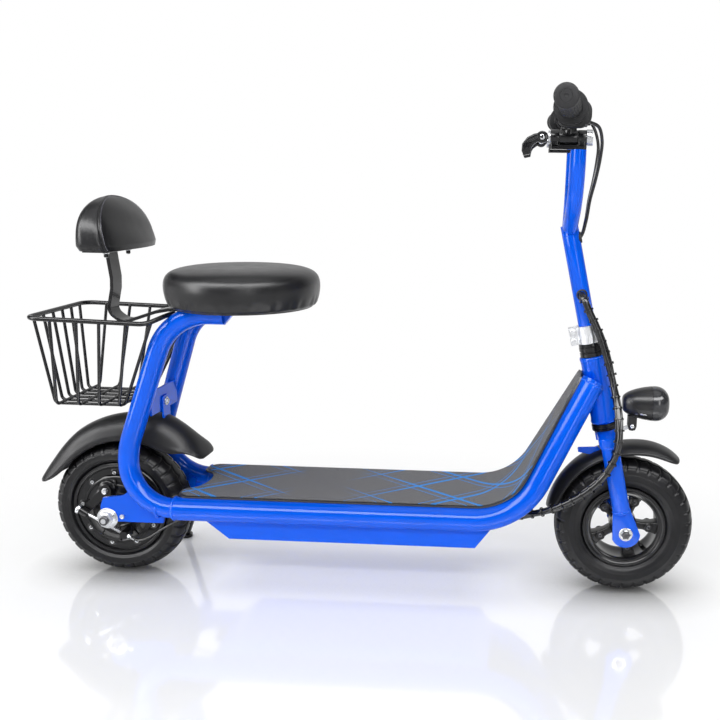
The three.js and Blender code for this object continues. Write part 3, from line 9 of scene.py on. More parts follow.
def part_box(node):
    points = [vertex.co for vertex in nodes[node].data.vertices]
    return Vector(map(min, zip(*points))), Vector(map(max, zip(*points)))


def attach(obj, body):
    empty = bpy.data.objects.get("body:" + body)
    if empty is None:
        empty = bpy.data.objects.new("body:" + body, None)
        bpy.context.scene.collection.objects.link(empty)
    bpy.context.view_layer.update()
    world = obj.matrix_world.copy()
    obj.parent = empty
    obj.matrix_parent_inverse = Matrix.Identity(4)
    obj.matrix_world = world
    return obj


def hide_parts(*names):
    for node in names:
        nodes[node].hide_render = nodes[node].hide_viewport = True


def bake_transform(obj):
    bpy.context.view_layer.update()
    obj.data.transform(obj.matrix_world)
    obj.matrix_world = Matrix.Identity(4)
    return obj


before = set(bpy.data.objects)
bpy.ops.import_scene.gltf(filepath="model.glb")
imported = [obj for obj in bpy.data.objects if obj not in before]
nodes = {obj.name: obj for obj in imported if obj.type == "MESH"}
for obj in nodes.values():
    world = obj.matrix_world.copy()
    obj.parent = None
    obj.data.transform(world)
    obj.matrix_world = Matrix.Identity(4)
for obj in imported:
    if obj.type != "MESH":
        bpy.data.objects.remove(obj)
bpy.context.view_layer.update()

TAU = 2 * math.pi
RAKE = math.radians(12.3)
WHEELBASE, AXLE, TYRE_R = 946.0, 127.0, 127.0
SHIFT = sum(corner.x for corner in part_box("rear_tyre")) / 2
SIDES = ((-1, "right"), (1, "left"))


def metres(points):
    p = np.array(points, float).reshape(-1, 3) / 1000
    p[:, 0] += SHIFT
    return p


def spot(point):
    return tuple(metres(point)[0])


def raked(points):
    """Points given along the steering axis from the front axle, in scooter millimetres."""
    x, y, s = np.array(points, float).reshape(-1, 3).T
    cos, sin = math.cos(RAKE), math.sin(RAKE)
    return np.stack([WHEELBASE + x * cos - s * sin, y, AXLE + x * sin + s * cos], 1)


def link(obj):
    bpy.context.scene.collection.objects.link(obj)
    return obj


# Camera, fitted to the photograph. Focal length and centre are in pixels.
PICTURE, FOCAL, CENTRE_X, CENTRE_Y, SENSOR = 720, 873.45, 479.86, 366.99, 36
YAW, PITCH, ROLL = -0.0555, 0.2077, 0.016
EYE = (0.76179 + SHIFT, -1.54534, 0.73983)


def add_camera():
    data = bpy.data.cameras.new("camera")
    ahead = Vector((math.sin(YAW) * math.cos(PITCH), math.cos(YAW) * math.cos(PITCH), -math.sin(PITCH)))
    level = Vector((math.cos(YAW), -math.sin(YAW), 0))
    over = level.cross(ahead)
    right = level * math.cos(ROLL) + over * math.sin(ROLL)
    up = over * math.cos(ROLL) - level * math.sin(ROLL)
    camera = link(bpy.data.objects.new("camera", data))
    camera.matrix_world = Matrix.Translation(EYE) @ Matrix((right, up, -ahead)).transposed().to_4x4()
    data.sensor_width = SENSOR
    data.lens = FOCAL / PICTURE * SENSOR
    data.shift_x = (PICTURE / 2 - CENTRE_X) / PICTURE
    data.shift_y = (CENTRE_Y - PICTURE / 2) / PICTURE
    data.clip_start, data.clip_end = 0.05, 60
    bpy.context.scene.camera = camera
    bpy.context.scene.view_settings.view_transform = "Standard"


add_camera()


# Paths and outlines
def unit(v):
    v = np.array(v, float)
    return v / np.linalg.norm(v, axis=-1, keepdims=True)


def angles(count):
    return np.arange(count) * TAU / count


def circle(radius, sides=32):
    return radius * np.stack([np.cos(angles(sides)), np.sin(angles(sides))], 1)


def rounded_rect(width, height, radius, steps=4):
    points = []
    for quarter, (sx, sy) in enumerate(((1, 1), (-1, 1), (-1, -1), (1, -1))):
        for a in np.radians(90 * (quarter + np.arange(steps + 1) / steps)):
            points.append((sx * (width / 2 - radius) + radius * math.cos(a),
                           sy * (height / 2 - radius) + radius * math.sin(a)))
    return np.array(points)


def layer(outline, y, scale=1.0):
    """An outline of x and z at a depth y, scaled about the origin."""
    p = np.array(outline, float) * scale
    return np.stack([p[:, 0], np.full(len(p), float(y)), p[:, 1]], 1)


def rounded(corners, cuts, loop=False, step=3.0):
    """Rounds the corners of a path, each starting the given length before its corner."""
    c = [Vector(p) for p in corners]
    out = []
    for i, p in enumerate(c):
        if not loop and i in (0, len(c) - 1):
            out.append(p)
            continue
        cut = cuts[i] if isinstance(cuts, list) else cuts
        back, ahead = (c[i - 1] - p).normalized(), (c[(i + 1) % len(c)] - p).normalized()
        bend = math.pi - back.angle(ahead)
        steps = max(2, math.ceil(math.degrees(bend) / step))
        for t in np.arange(steps + 1) / steps:
            a, b, d = (1 - t) ** 2, 2 * t * (1 - t) * math.cos(bend / 2), t * t
            out.append(((p + back * cut) * a + p * b + (p + ahead * cut) * d) / (a + b + d))
    return np.array([tuple(p) for p in out])


def distances(points):
    return np.concatenate([[0], np.cumsum(np.linalg.norm(np.diff(points, axis=0), axis=1))])


def resampled(points, at):
    run = distances(points)
    return np.stack([np.interp(at, run, column) for column in np.transpose(points)], 1)


def smooth_path(points, spacing, fineness=24):
    """Centripetal curve through given points, resampled at an even spacing."""
    p = np.array(points, float)
    p = np.concatenate([[2 * p[0] - p[1]], p, [2 * p[-1] - p[-2]]])
    fine = []
    for i in range(len(p) - 3):
        knot = np.concatenate([[0], np.cumsum(np.linalg.norm(np.diff(p[i:i + 4], axis=0), axis=1) ** 0.5)])
        for t in np.linspace(knot[1], knot[2], fineness, endpoint=False):
            row = p[i:i + 4]
            for spans in (((0, 1), (1, 2), (2, 3)), ((0, 2), (1, 3)), ((1, 2),)):
                row = [((knot[b] - t) * row[k] + (t - knot[a]) * row[k + 1]) / (knot[b] - knot[a])
                       for k, (a, b) in enumerate(spans)]
            fine.append(row[0])
    fine = np.array(fine + [p[-2]])
    length = distances(fine)[-1]
    return resampled(fine, np.linspace(0, length, max(4, round(length / spacing)) + 1))


def smooth_line(pairs, spacing):
    return smooth_path([(a, b, 0) for a, b in pairs], spacing)[:, :2]


def carried(n, before, after):
    """A cross direction turned as the tangent turns from before to after."""
    axis = np.cross(before, after)
    s, c = np.linalg.norm(axis), before @ after
    if s > 1e-9:
        axis /= s
        n = n * c + np.cross(axis, n) * s + axis * (axis @ n) * (1 - c)
    return n


def frames(points, closed=False):
    """Tangents and two cross directions along a path, with as little twist as possible."""
    p = np.array(points, float)
    if closed:
        t = unit(np.roll(p, -1, 0) - np.roll(p, 1, 0))
    else:
        d = unit(np.diff(p, axis=0))
        t = unit(np.concatenate([d[:1], d[:-1] + d[1:], d[-1:]]))
    n = np.array((0, 0, 1) if abs(t[0][2]) < 0.9 else (1, 0, 0), float)
    normals = []
    for i in range(len(p)):
        n = carried(n, t[max(i - 1, 0)], t[i])
        n = unit(n - t[i] * (n @ t[i]))
        normals.append(n)
    normals = np.array(normals)
    if closed:
        last = carried(n, t[-1], t[0])
        twist = math.atan2(last @ np.cross(t[0], normals[0]), last @ normals[0])
        a = (-twist * np.arange(len(p)) / len(p))[:, None]
        normals = normals * np.cos(a) + np.cross(t, normals) * np.sin(a)
    return t, normals, np.cross(t, normals)


# Shapes, each a pair of vertices and faces
def loft(rings, closed=False, caps=True):
    """Rings of equal length joined in order, back to the first or with their ends capped."""
    v = np.array(rings, float)
    rows, cols = v.shape[:2]
    faces = []
    for i in range(rows if closed else rows - 1):
        near, far = i * cols, (i + 1) % rows * cols
        for j in range(cols):
            faces.append((near + j, near + (j + 1) % cols, far + (j + 1) % cols, far + j))
    if caps and not closed:
        faces += [tuple(range(cols))[::-1], tuple((rows - 1) * cols + j for j in range(cols))]
    return v.reshape(-1, 3), faces


def sweep(points, section, closed=False, scale=1.0):
    """A section carried along a path."""
    _, n, b = frames(points, closed)
    k = np.broadcast_to(scale, len(points))[:, None, None]
    s = np.array(section)[None]
    return loft(np.array(points)[:, None] + (n[:, None] * s[..., :1] + b[:, None] * s[..., 1:]) * k, closed)


def tube(points, radius, sides=32, closed=False):
    return sweep(points, circle(radius, sides), closed)


def rod(a, b, radius, sides=32, edge=0.0):
    """A straight rod, with its two edges eased where an edge is given."""
    a, b = np.array(a, float), np.array(b, float)
    if not edge:
        return tube([a, b], radius, sides)
    d, k = unit(b - a) * edge, edge / radius
    return sweep([a, a + d * 0.3, a + d, b - d, b - d * 0.3, b], circle(radius, sides),
                 scale=[1 - k, 1 - 0.3 * k, 1, 1, 1 - 0.3 * k, 1 - k])


def fork_rod(low, high, radius, sides, edge, y=0.0):
    """A rod along the steering axis."""
    return rod(*raked([(0, y, low), (0, y, high)]), radius, sides, edge)


def lathe(profile, segments=96, place=None):
    """Turns radius and Y about the Y axis. A profile that comes back to its start is closed."""
    loop = tuple(profile[0]) == tuple(profile[-1])
    v, faces = loft([layer(circle(r, segments), y) for r, y in (profile[:-1] if loop else profile)], loop)
    return (place(v) if place else v), faces


def plate(outline, low, high, plane="XZ"):
    """An outline pushed from low to high along the axis that the plane leaves out."""
    order = {"XZ": (0, 2, 1), "XY": (0, 1, 2), "YZ": (2, 0, 1)}[plane]
    return loft([[[(a, b, level)[k] for k in order] for a, b in outline] for level in (low, high)])


def cross_pair(d, axis):
    """Two directions square to d, the first also square to an axis."""
    x = unit(np.cross(d, np.eye(3)[axis] if abs(d[axis]) < 0.9 else (1, 0, 0)))
    return x, np.cross(x, d)


def along(origin, direction):
    """Places a lathe's Y axis from origin along direction."""
    d = unit(direction)
    x, z = cross_pair(d, 2)
    return lambda v: np.array(origin, float) + v[:, :1] * x + v[:, 1:2] * d + v[:, 2:] * z


def beside(x, y, z, side=-1):
    """Places a lathe's Y axis outward, y away from the middle on one side."""
    return along((x, y * side, z), (0, side, 0))


def at_wheel(x):
    return lambda v: v + (x, 0, AXLE)


def on_axis(v):
    return raked(np.stack([v[:, 0], -v[:, 2], v[:, 1]], 1))


def moved(shape, place):
    return place(shape[0]), shape[1]


def mirrored(shape):
    return shape[0] * (1, -1, 1), shape[1]


def ring_of(shape, count, start, x):
    """Copies of a shape set round the Y axis of the wheel at x."""
    out = []
    for a in start + angles(count):
        c, s = math.cos(a), math.sin(a)
        out.append((at_wheel(x)(shape[0] @ np.array([[c, 0, s], [0, 1, 0], [-s, 0, c]])), shape[1]))
    return out


def with_look(parts, look=0):
    """Parts as pairs of a shape and a look's index, where a bare shape gets the given look."""
    return [part if isinstance(part[1], int) else (part, look) for part in parts]


def both(parts):
    """Parts of one side, then the same parts mirrored."""
    return with_look(parts) + [(mirrored(shape), look) for shape, look in with_look(parts)]


# Pieces
def ease(obj, width, angle):
    """Rounds the sharp edges of a piece by modifiers."""
    mod = obj.modifiers.new("edges", "BEVEL")
    mod.width = width / 1000
    mod.segments = 2
    mod.limit_method = "ANGLE"
    mod.angle_limit = math.radians(angle)
    mod.use_clamp_overlap = True
    mod = obj.modifiers.new("normals", "WEIGHTED_NORMAL")
    mod.keep_sharp = True
    mod.weight = 80


def add(name, parts, body, looks, sharp=38, side=-1, stands_for=None, bevel=0.0):
    """One piece from shapes, mirrored where side is 1. It replaces the node of its name, or the one given."""
    bm = bmesh.new()
    for (points, faces), look in with_look(parts):
        verts = [bm.verts.new(p) for p in metres(points * (1, -side, 1))]
        for f in faces:
            face = bm.faces.new([verts[i] for i in f])
            face.material_index = look
            face.smooth = True
    bmesh.ops.remove_doubles(bm, verts=bm.verts, dist=1e-7)
    bmesh.ops.recalc_face_normals(bm, faces=bm.faces)
    mesh = bpy.data.meshes.new(name)
    bm.to_mesh(mesh)
    bm.free()
    for look in looks:
        mesh.materials.append(look)
    obj = link(bpy.data.objects.new(name + "_detailed" if name in nodes else name, mesh))
    if bevel:
        ease(obj, bevel, sharp)
    else:
        mesh.set_sharp_from_angle(angle=math.radians(sharp))
    if body:
        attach(obj, body)
    if stands_for or name in nodes:
        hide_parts(stands_for or name)
    return obj


def dress(node, look, bevel):
    """Gives a CAD node its finish and eases its edges, without touching its mesh."""
    obj = nodes[node]
    mesh = obj.data
    mesh.materials.clear()
    mesh.materials.append(look)
    if "custom_normal" in mesh.attributes:
        mesh.attributes.remove(mesh.attributes["custom_normal"])
    mesh.polygons.foreach_set("use_smooth", [True] * len(mesh.polygons))
    mod = obj.modifiers.new("weld", "WELD")
    mod.merge_threshold = 1e-6
    ease(obj, bevel, 32)


# Finishes
class Tree:
    """A node tree written as calls. A socket takes a number, a colour or another node's output."""

    def __init__(self, tree):
        self.tree = tree
        tree.nodes.clear()

    def node(self, kind, sockets=(), **settings):
        node = self.tree.nodes.new("ShaderNode" + kind)
        for key, value in settings.items():
            setattr(node, key, value)
        for key, value in dict(sockets).items():
            self.feed(node.inputs[key], value)
        return node

    def feed(self, socket, value):
        if isinstance(value, bpy.types.NodeSocket):
            self.tree.links.new(value, socket)
        elif isinstance(value, tuple):
            socket.default_value = (*value, 1) if socket.type == "RGBA" else value
        else:
            socket.default_value = value

    def math(self, operation, *values, clamp=False):
        node = self.node("Math", dict(enumerate(values)), operation=operation, use_clamp=clamp)
        return node.outputs[0]

    def smooth_range(self, value, low, high):
        sockets = {0: value, "From Min": low, "From Max": high}
        return self.node("MapRange", sockets, interpolation_type="SMOOTHSTEP").outputs[0]

    def split(self, vector):
        return self.node("SeparateXYZ", {0: vector}).outputs

    def blend(self, share, first, second):
        return self.node("MixShader", {0: share, 1: first, 2: second}).outputs[0]


class Finish(Tree):
    """A small node tree round one Principled shader. Patterns are in object space, in metres."""

    def __init__(self, name, color, roughness, **sockets):
        self.mat = bpy.data.materials.new(name)
        self.mat.use_nodes = True
        super().__init__(self.mat.node_tree)
        self.color, self.rough, self.height = color, roughness, None
        sockets = {key.replace("_", " "): value for key, value in sockets.items()}
        self.bsdf = self.node("BsdfPrincipled", {"Base Color": color, "Roughness": roughness, **sockets})
        self.out = self.node("OutputMaterial", {0: self.bsdf.outputs[0]})
        self.coords = self.node("TexCoord").outputs["Object"]

    def noise(self, scale, detail=3.0, rough=0.5, vector=None):
        sockets = {"Scale": scale, "Detail": detail, "Roughness": rough, "Vector": vector or self.coords}
        return self.node("TexNoise", sockets).outputs["Fac"]

    def cells(self, scale, feature="F1"):
        sockets = {"Scale": scale, "Vector": self.coords}
        return self.node("TexVoronoi", sockets, feature=feature).outputs["Distance"]

    def ramp(self, fac, *stops):
        node = self.node("ValToRGB", {0: fac})
        for element, (at, value) in zip(node.color_ramp.elements, stops):
            element.position = at
            element.color = (value, value, value, 1)
        return node.outputs[0]

    def mix(self, fac, a, b):
        return self.node("Mix", data_type="RGBA", sockets={0: fac, 6: a, 7: b}).outputs[2]

    def tint(self, color):
        self.feed(self.bsdf.inputs["Base Color"], color)

    def gloss(self, fac, amount):
        low, high = max(0.02, self.rough - amount), min(1, self.rough + amount)
        drift = self.node("MapRange", {0: fac, "To Min": low, "To Max": high})
        self.feed(self.bsdf.inputs["Roughness"], drift.outputs[0])

    def vary(self, amount, scale, roughness):
        """Slow drift of colour and gloss over the surface."""
        dark = tuple(c * (1 - amount) for c in self.color)
        light = tuple(min(1, c * (1 + amount) + amount * 0.004) for c in self.color)
        self.tint(self.mix(self.ramp(self.noise(scale, 4), (0.3, 0), (0.7, 1)), dark, light))
        self.gloss(self.noise(scale * 2.3, 5), roughness)

    def bump(self, height, strength, distance):
        node = self.node("Bump", {"Strength": strength, "Distance": distance, "Height": height})
        if self.height:
            self.feed(node.inputs["Normal"], self.height)
        self.height = node.outputs[0]
        self.feed(self.bsdf.inputs["Normal"], self.height)


def paint(name, color, roughness, coat, spec):
    f = Finish(name, color, roughness, Coat_Weight=coat, Coat_Roughness=0.07, Specular_IOR_Level=spec)
    f.vary(0.05, 9, 0.05)
    f.bump(f.noise(420, 2), 0.06, 0.0002)
    return f.mat


def metal(name, color, roughness, grain=0.25, streak=(1, 1, 1)):
    f = Finish(name, color, roughness, Metallic=1.0)
    stretched = f.node("VectorMath", {0: f.coords, 1: streak}, operation="MULTIPLY").outputs[0]
    n = f.noise(260, 5, 0.65, stretched)
    f.tint(f.mix(n, tuple(c * 0.72 for c in color), tuple(min(1, c * 1.15) for c in color)))
    f.gloss(f.noise(120, 4), 0.12)
    f.bump(n, grain, 0.0001)
    return f.mat


def moulded(name, color, roughness, grain, strength, spec=0.5):
    f = Finish(name, color, roughness, Specular_IOR_Level=spec)
    f.vary(0.16, 11, 0.07)
    f.bump(f.noise(grain, 3, 0.6), strength, 0.0002)
    f.bump(f.noise(24, 3), 0.12, 0.001)
    return f.mat


def tyre_finish():
    f = Finish("tyre_rubber", (0.01, 0.01, 0.011), 0.38, Specular_IOR_Level=0.24)
    dust = f.ramp(f.noise(18, 6, 0.62), (0.42, 0.0), (0.75, 1.0))
    f.tint(f.mix(dust, (0.005, 0.005, 0.006), (0.014, 0.014, 0.015)))
    f.gloss(f.noise(60, 5), 0.1)
    f.bump(f.noise(1300, 4, 0.6), 0.25, 0.0003)
    f.bump(f.noise(170, 3), 0.1, 0.0006)
    return f.mat


def leather_finish():
    f = Finish("black_leather", (0.009, 0.009, 0.01), 0.33, Specular_IOR_Level=0.4, Sheen_Weight=0.02,
               Sheen_Roughness=0.4)
    f.tint(f.mix(f.ramp(f.noise(22, 5), (0.35, 0), (0.7, 1)), (0.007, 0.007, 0.008), (0.012, 0.012, 0.013)))
    f.gloss(f.noise(42, 4), 0.07)
    f.bump(f.ramp(f.cells(1500, "DISTANCE_TO_EDGE"), (0.0, 0.0), (0.14, 1.0)), 0.16, 0.0001)
    f.bump(f.noise(95, 4, 0.55), 0.08, 0.0005)
    return f.mat


def thread_finish():
    f = Finish("seam_thread", (0.2, 0.195, 0.24), 0.6)
    f.vary(0.2, 300, 0.1)
    f.bump(f.noise(2400, 2), 0.4, 0.0002)
    return f.mat


def mat_finish(period=0.16, lean=1.35):
    """Speckled grit with a generic lattice of diamonds in two blues."""
    f = Finish("grip_mat", (0.055, 0.055, 0.06), 0.85, Specular_IOR_Level=0.6)
    x, y, z = f.split(f.coords)
    run = f.math("ADD", x, f.math("MULTIPLY", z, 0.75))

    def band(low, high, soft):
        rise = f.math("DIVIDE", f.math("SUBTRACT", run, low), soft, clamp=True)
        fall = f.math("DIVIDE", f.math("SUBTRACT", high, run), soft, clamp=True)
        return f.math("MULTIPLY", rise, fall)

    def diamonds(width, shift):
        crossing = []
        for slope in (lean, -lean):
            s = f.math("ADD", f.math("MULTIPLY", run, 1 / period), f.math("MULTIPLY", y, slope / period))
            d = f.math("ABSOLUTE", f.math("SUBTRACT", f.math("FRACT", f.math("ADD", s, shift)), 0.5))
            crossing.append(f.math("LESS_THAN", d, f.math("MULTIPLY", zone, width)))
        return f.math("MAXIMUM", *crossing)

    zone = f.math("MAXIMUM", band(-0.26, 0.02, 0.12), band(0.10, 0.62, 0.16))
    mask = f.math("MAXIMUM", diamonds(0.034, 0.0), diamonds(0.011, 0.16))
    grit = f.noise(1500, 2, 0.7)
    dark = f.mix(f.ramp(grit, (0.42, 0), (0.66, 1)), (0.045, 0.045, 0.048), (0.24, 0.24, 0.25))
    blue = f.mix(f.ramp(grit, (0.4, 0), (0.7, 1)), (0.015, 0.16, 0.55), (0.06, 0.36, 0.85))
    fleck = f.ramp(f.cells(900), (0.1, 1.0), (0.16, 0.0))
    f.tint(f.mix(f.math("MULTIPLY", fleck, 0.5), f.mix(mask, dark, blue), (0.55, 0.56, 0.6)))
    f.bump(grit, 0.7, 0.0005)
    return f.mat


BLUE = paint("blue_paint", (0.0, 0.1, 0.75), 0.2, 0.44, 0.05)
BLACK = paint("black_paint", (0.007, 0.007, 0.008), 0.3, 0.35, 0.2)
WELD = paint("blue_weld", (0.0, 0.11, 0.78), 0.26, 0.35, 0.2)
HUB_BLACK = paint("hub_black", (0.005, 0.005, 0.006), 0.3, 0.3, 0.2)
PLASTIC = moulded("black_plastic", (0.01, 0.01, 0.011), 0.38, 900, 0.18, 0.3)
FENDER = moulded("fender_plastic", (0.015, 0.015, 0.016), 0.38, 1100, 0.2, 0.26)
GRIP = moulded("grip_rubber", (0.013, 0.013, 0.014), 0.55, 1500, 0.3, 0.3)
CABLE = moulded("cable_jacket", (0.011, 0.011, 0.012), 0.2, 500, 0.04)
LAMP = moulded("lamp_shell", (0.014, 0.014, 0.015), 0.3, 800, 0.05, 0.4)
LENS = moulded("lamp_lens", (0.03, 0.031, 0.034), 0.16, 500, 0.04)
DARK = metal("dark_metal", (0.09, 0.09, 0.095), 0.42)
STEEL = metal("bright_steel", (0.62, 0.63, 0.65), 0.26)
ZINC = metal("zinc_bolt", (0.6, 0.61, 0.63), 0.3)
ALUMINIUM = metal("clamp_aluminium", (0.78, 0.79, 0.81), 0.38, 0.35, (1, 4, 1))
TYRE, LEATHER, THREAD, MAT = tyre_finish(), leather_finish(), thread_finish(), mat_finish()


# Stage and light
FLOOR_HALF, FLOOR_Z = 30, -0.0006
FLOOR_MIRROR, FLOOR_LIFT = 0.27, 0.27
WORLD_SOFT, WORLD_MIRRORED, WHITE = 0.24, 0.12, 1.0
# What shiny surfaces mirror, as boxes of direction: x, y and z from and to, strength
GLOWS = [((-2, 2), (-2, -0.25), (0.52, 0.78), 12.0), ((-0.93, -0.72), (-2, -0.15), (-0.1, 0.5), 11.0),
         ((0.3, 0.42), (-2, -0.2), (-0.1, 0.45), 8.0),
         ((-2, 2), (-2, 2), (0.88, 2), 1.0), ((-2, 2), (0.62, 2), (-2, 2), 0.6)]
GLOW_EDGE, NO_EDGE = 0.03, 1.5
# Name, place, target, size in metres and power in watts
LAMPS = [("overhead", (0.0, -0.1, 2.7), (0, 0, 0.3), (2.8, 1.2), 25),
         ("strip", (0.1, -2.1, 1.9), (0, 0, 0.3), (2.8, 0.22), 33),
         ("edge", (-2.3, -1.5, 1.3), (-0.1, 0, 0.4), (0.16, 1.9), 20),
         ("fill", (2.3, -1.2, 1.2), (0.2, 0, 0.4), (0.12, 1.5), 6),
         ("back", (0.3, 2.3, 1.6), (0, 0, 0.4), (2.4, 0.5), 8)]


def floor_finish():
    """A pale polished floor with a painted contact shadow, where ambient occlusion darkens its colour and
    lift close to the scooter. It fades to plain white away from the scooter.
    """
    f = Finish("floor", (0.9, 0.9, 0.9), 0.5, Specular_IOR_Level=0.2)
    ray = f.node("LightPath").outputs
    seen = f.math("MAXIMUM", f.math("MAXIMUM", ray["Is Camera Ray"], ray["Is Glossy Ray"]),
                  ray["Is Transmission Ray"])
    # Painted shade: ambient occlusion darkens the floor's colour where parts come close, as a contact shadow
    # under the wheels.
    contact_occlusion = f.node("AmbientOcclusion", {"Distance": 0.11}, samples=8)
    painted_shade_ramp = f.ramp(contact_occlusion.outputs["AO"], (0.35, 0.12), (0.95, 1.0))
    f.tint(f.mix(painted_shade_ramp, (0.1, 0.1, 0.1), (0.9, 0.9, 0.9)))
    polish = f.node("BsdfGlossy", {"Roughness": 0.08}).outputs[0]
    # The same painted shade also cuts the floor's lift near the scooter.
    strength = f.math("MULTIPLY", f.math("MULTIPLY", seen, FLOOR_LIFT), painted_shade_ramp)
    lift = f.node("Emission", {"Strength": strength})
    near = f.node("AddShader", {0: f.blend(FLOOR_MIRROR, f.bsdf.outputs[0], polish), 1: lift.outputs[0]})
    x, y, _ = f.split(f.coords)
    away = f.math("SQRT", f.math("ADD", f.math("POWER", f.math("MULTIPLY", x, 0.72), 2.0),
                                 f.math("POWER", y, 2.0)))
    white = f.node("Emission", {"Strength": WHITE})
    far = f.math("MULTIPLY", f.smooth_range(away, 0.38, 0.85), seen)
    f.feed(f.out.inputs[0], f.blend(far, near.outputs[0], white.outputs[0]))
    return f.mat


def add_floor():
    mesh = bpy.data.meshes.new("floor")
    corners = [(x * FLOOR_HALF, y * FLOOR_HALF, 0) for x, y in ((-1, -1), (1, -1), (1, 1), (-1, 1))]
    mesh.from_pydata(corners, [], [(0, 1, 2, 3)])
    floor = link(bpy.data.objects.new("floor", mesh))
    floor.location.z = FLOOR_Z
    mesh.materials.append(floor_finish())


def add_world():
    """White for the camera and through glass, the glows for shiny surfaces and a soft light for all else."""
    world = bpy.data.worlds.new("studio")
    bpy.context.scene.world = world
    world.use_nodes = True
    tree = Tree(world.node_tree)

    def background(color, strength):
        return tree.node("Background", {0: color, 1: strength}).outputs[0]

    toward = tree.split(tree.node("TexCoord").outputs["Generated"])
    total = WORLD_MIRRORED
    for *spans, glow in GLOWS:
        for axis, (low, high) in zip(toward, spans):
            for edge, way in ((low, GLOW_EDGE), (high, -GLOW_EDGE)):
                if abs(edge) < NO_EDGE:
                    glow = tree.math("MULTIPLY", glow, tree.smooth_range(axis, edge - way, edge + way))
        total = tree.math("ADD", total, glow)
    ray = tree.node("LightPath").outputs
    lit = tree.blend(ray["Is Glossy Ray"], background((0.96, 0.98, 1), WORLD_SOFT),
                     background((1, 1, 1), total))
    through = tree.math("MAXIMUM", ray["Is Camera Ray"], ray["Is Transmission Ray"])
    tree.node("OutputWorld", {0: tree.blend(through, lit, background((1, 1, 1), WHITE))})


def add_lamps():
    for name, place, target, size, power in LAMPS:
        data = bpy.data.lights.new(name, "AREA")
        data.shape = "RECTANGLE"
        data.size, data.size_y = size
        data.energy = power
        lamp = link(bpy.data.objects.new(name, data))
        lamp.visible_glossy = False
        lamp.location = place
        lamp.rotation_euler = (Vector(target) - Vector(place)).to_track_quat("-Z", "Y").to_euler()


add_floor()
add_world()
add_lamps()


# Welds and fasteners
def weld_bead(center, normal, radius, width=4.2, height=1.5, ripples=46):
    """A rippled ring of weld metal round a tube."""
    n = unit(normal)
    x, y = cross_pair(n, 1)
    a, b = angles(4 * ripples)[:, None, None], np.linspace(0, math.pi, 7)[:, None]
    wave = 0.5 + 0.5 * np.cos(a * ripples)
    rise = radius - 0.5 + (height + 0.5 * wave) * np.sin(b)
    out = x * np.cos(a) + y * np.sin(a)
    return loft(np.array(center) + out * rise + n * (width / 2 + 0.25 * wave) * np.cos(b), closed=True)


def weld_blob(center, radius):
    rings = []
    for b in np.linspace(-0.5, 0.5, 7) * math.pi:
        x, y = (radius * max(0.02, math.cos(b)) * circle(1, 14)).T
        rings.append(np.stack([x * 0.999, y, np.full(14, radius * 0.8 * math.sin(b))], 1) + center)
    return loft(rings)


def bolt_head(place, width, high):
    """A domed socket screw head. Its foot is at the origin and it faces +Y."""
    r = width / 2
    dome = [(0.001, high * 0.45), (r * 0.42, high * 0.45), (r * 0.46, high * 0.97), (r * 0.85, high * 0.9),
            (r, high * 0.62), (r, 0.0), (0.001, 0.0)]
    return lathe(dome, 24, place)


def hex_nut(place, width, high):
    r = width / 2 / math.cos(math.pi / 6)
    return loft([place(layer(circle(r, 6), y, k)) for y, k in ((0, 1), (high * 0.88, 1), (high, 0.9))])


def washer(place, outer, inner, thick):
    e = min(0.4, thick / 3)
    return lathe([(inner, 0), (outer - e, 0), (outer, e), (outer, thick - e), (outer - e, thick),
                  (inner, thick), (inner, 0)], 48, place)


# Frame tubes and head
RUN_R, MAST_R, RUN_Y, RUN_Z = 21.0, 18.0, -91.0, 157.0
HEAD_JOINT, HEAD_SIDE = np.array((856.5, -35.5, 354.6)), np.array((880, -23, 399.0))
RUN_PATH = rounded([(135.3, RUN_Y, RUN_Z), (752, RUN_Y, RUN_Z), HEAD_SIDE], 78)
MAST_PATH = rounded([(231, -60, 507.5), (131, -60, 507.5), (49, -77, 262), (53, RUN_Y, RUN_Z),
                     (135, RUN_Y, RUN_Z)], [0, 72, 22, 81, 0])
STAND_LUG = [(100, 121), (103, 117.5), (106, 117), (116, 117), (119, 120), (120, 123), (120, 158),
             (100, 158)]
HEAD_LOW, HEAD_HIGH, HEAD_BORE, CUP_BORE = 197.0, 321.0, 18.1, 14.6
HEAD_LIP = [(22.0, 0), (23.6, 1.2), (24.2, 4), (23.4, 8), (23, 12)]
CUPS = [("lower_headset", 184.3, 196.4, 24.0), ("upper_headset", 321.3, 345.7, 21.5)]
CUP_GROOVES = [(0, 0.3), (1.4, 0.34), (1.4, 0.4), (0, 0.44), (0, 0.72), (1.2, 0.75), (1.2, 0.79),
               (0.3, 0.82)]


def build_tubes():
    for side, word in SIDES:
        run = [tube(RUN_PATH, RUN_R, 48), (weld_bead((135.6, RUN_Y, RUN_Z), (1, 0, 0), RUN_R), 1)]
        add(word + "_frame_tube", run, "frame", [BLUE, WELD], 50, side)
        mast = [tube(MAST_PATH, MAST_R, 48),
                (weld_bead((104, RUN_Y, RUN_Z), (1, 0, 0), MAST_R, 3.6, 1.2), 1)]
        if side > 0:
            mast += [plate(STAND_LUG, -98, -82), (rod((110, -97, 130), (110, -113.6, 130), 5, 24), 2),
                     (bolt_head(beside(110, 111, 130), 16, 3), 2)]
        add(word + "_mast_tube", mast, "frame", [BLUE, WELD, ZINC], 40, side)


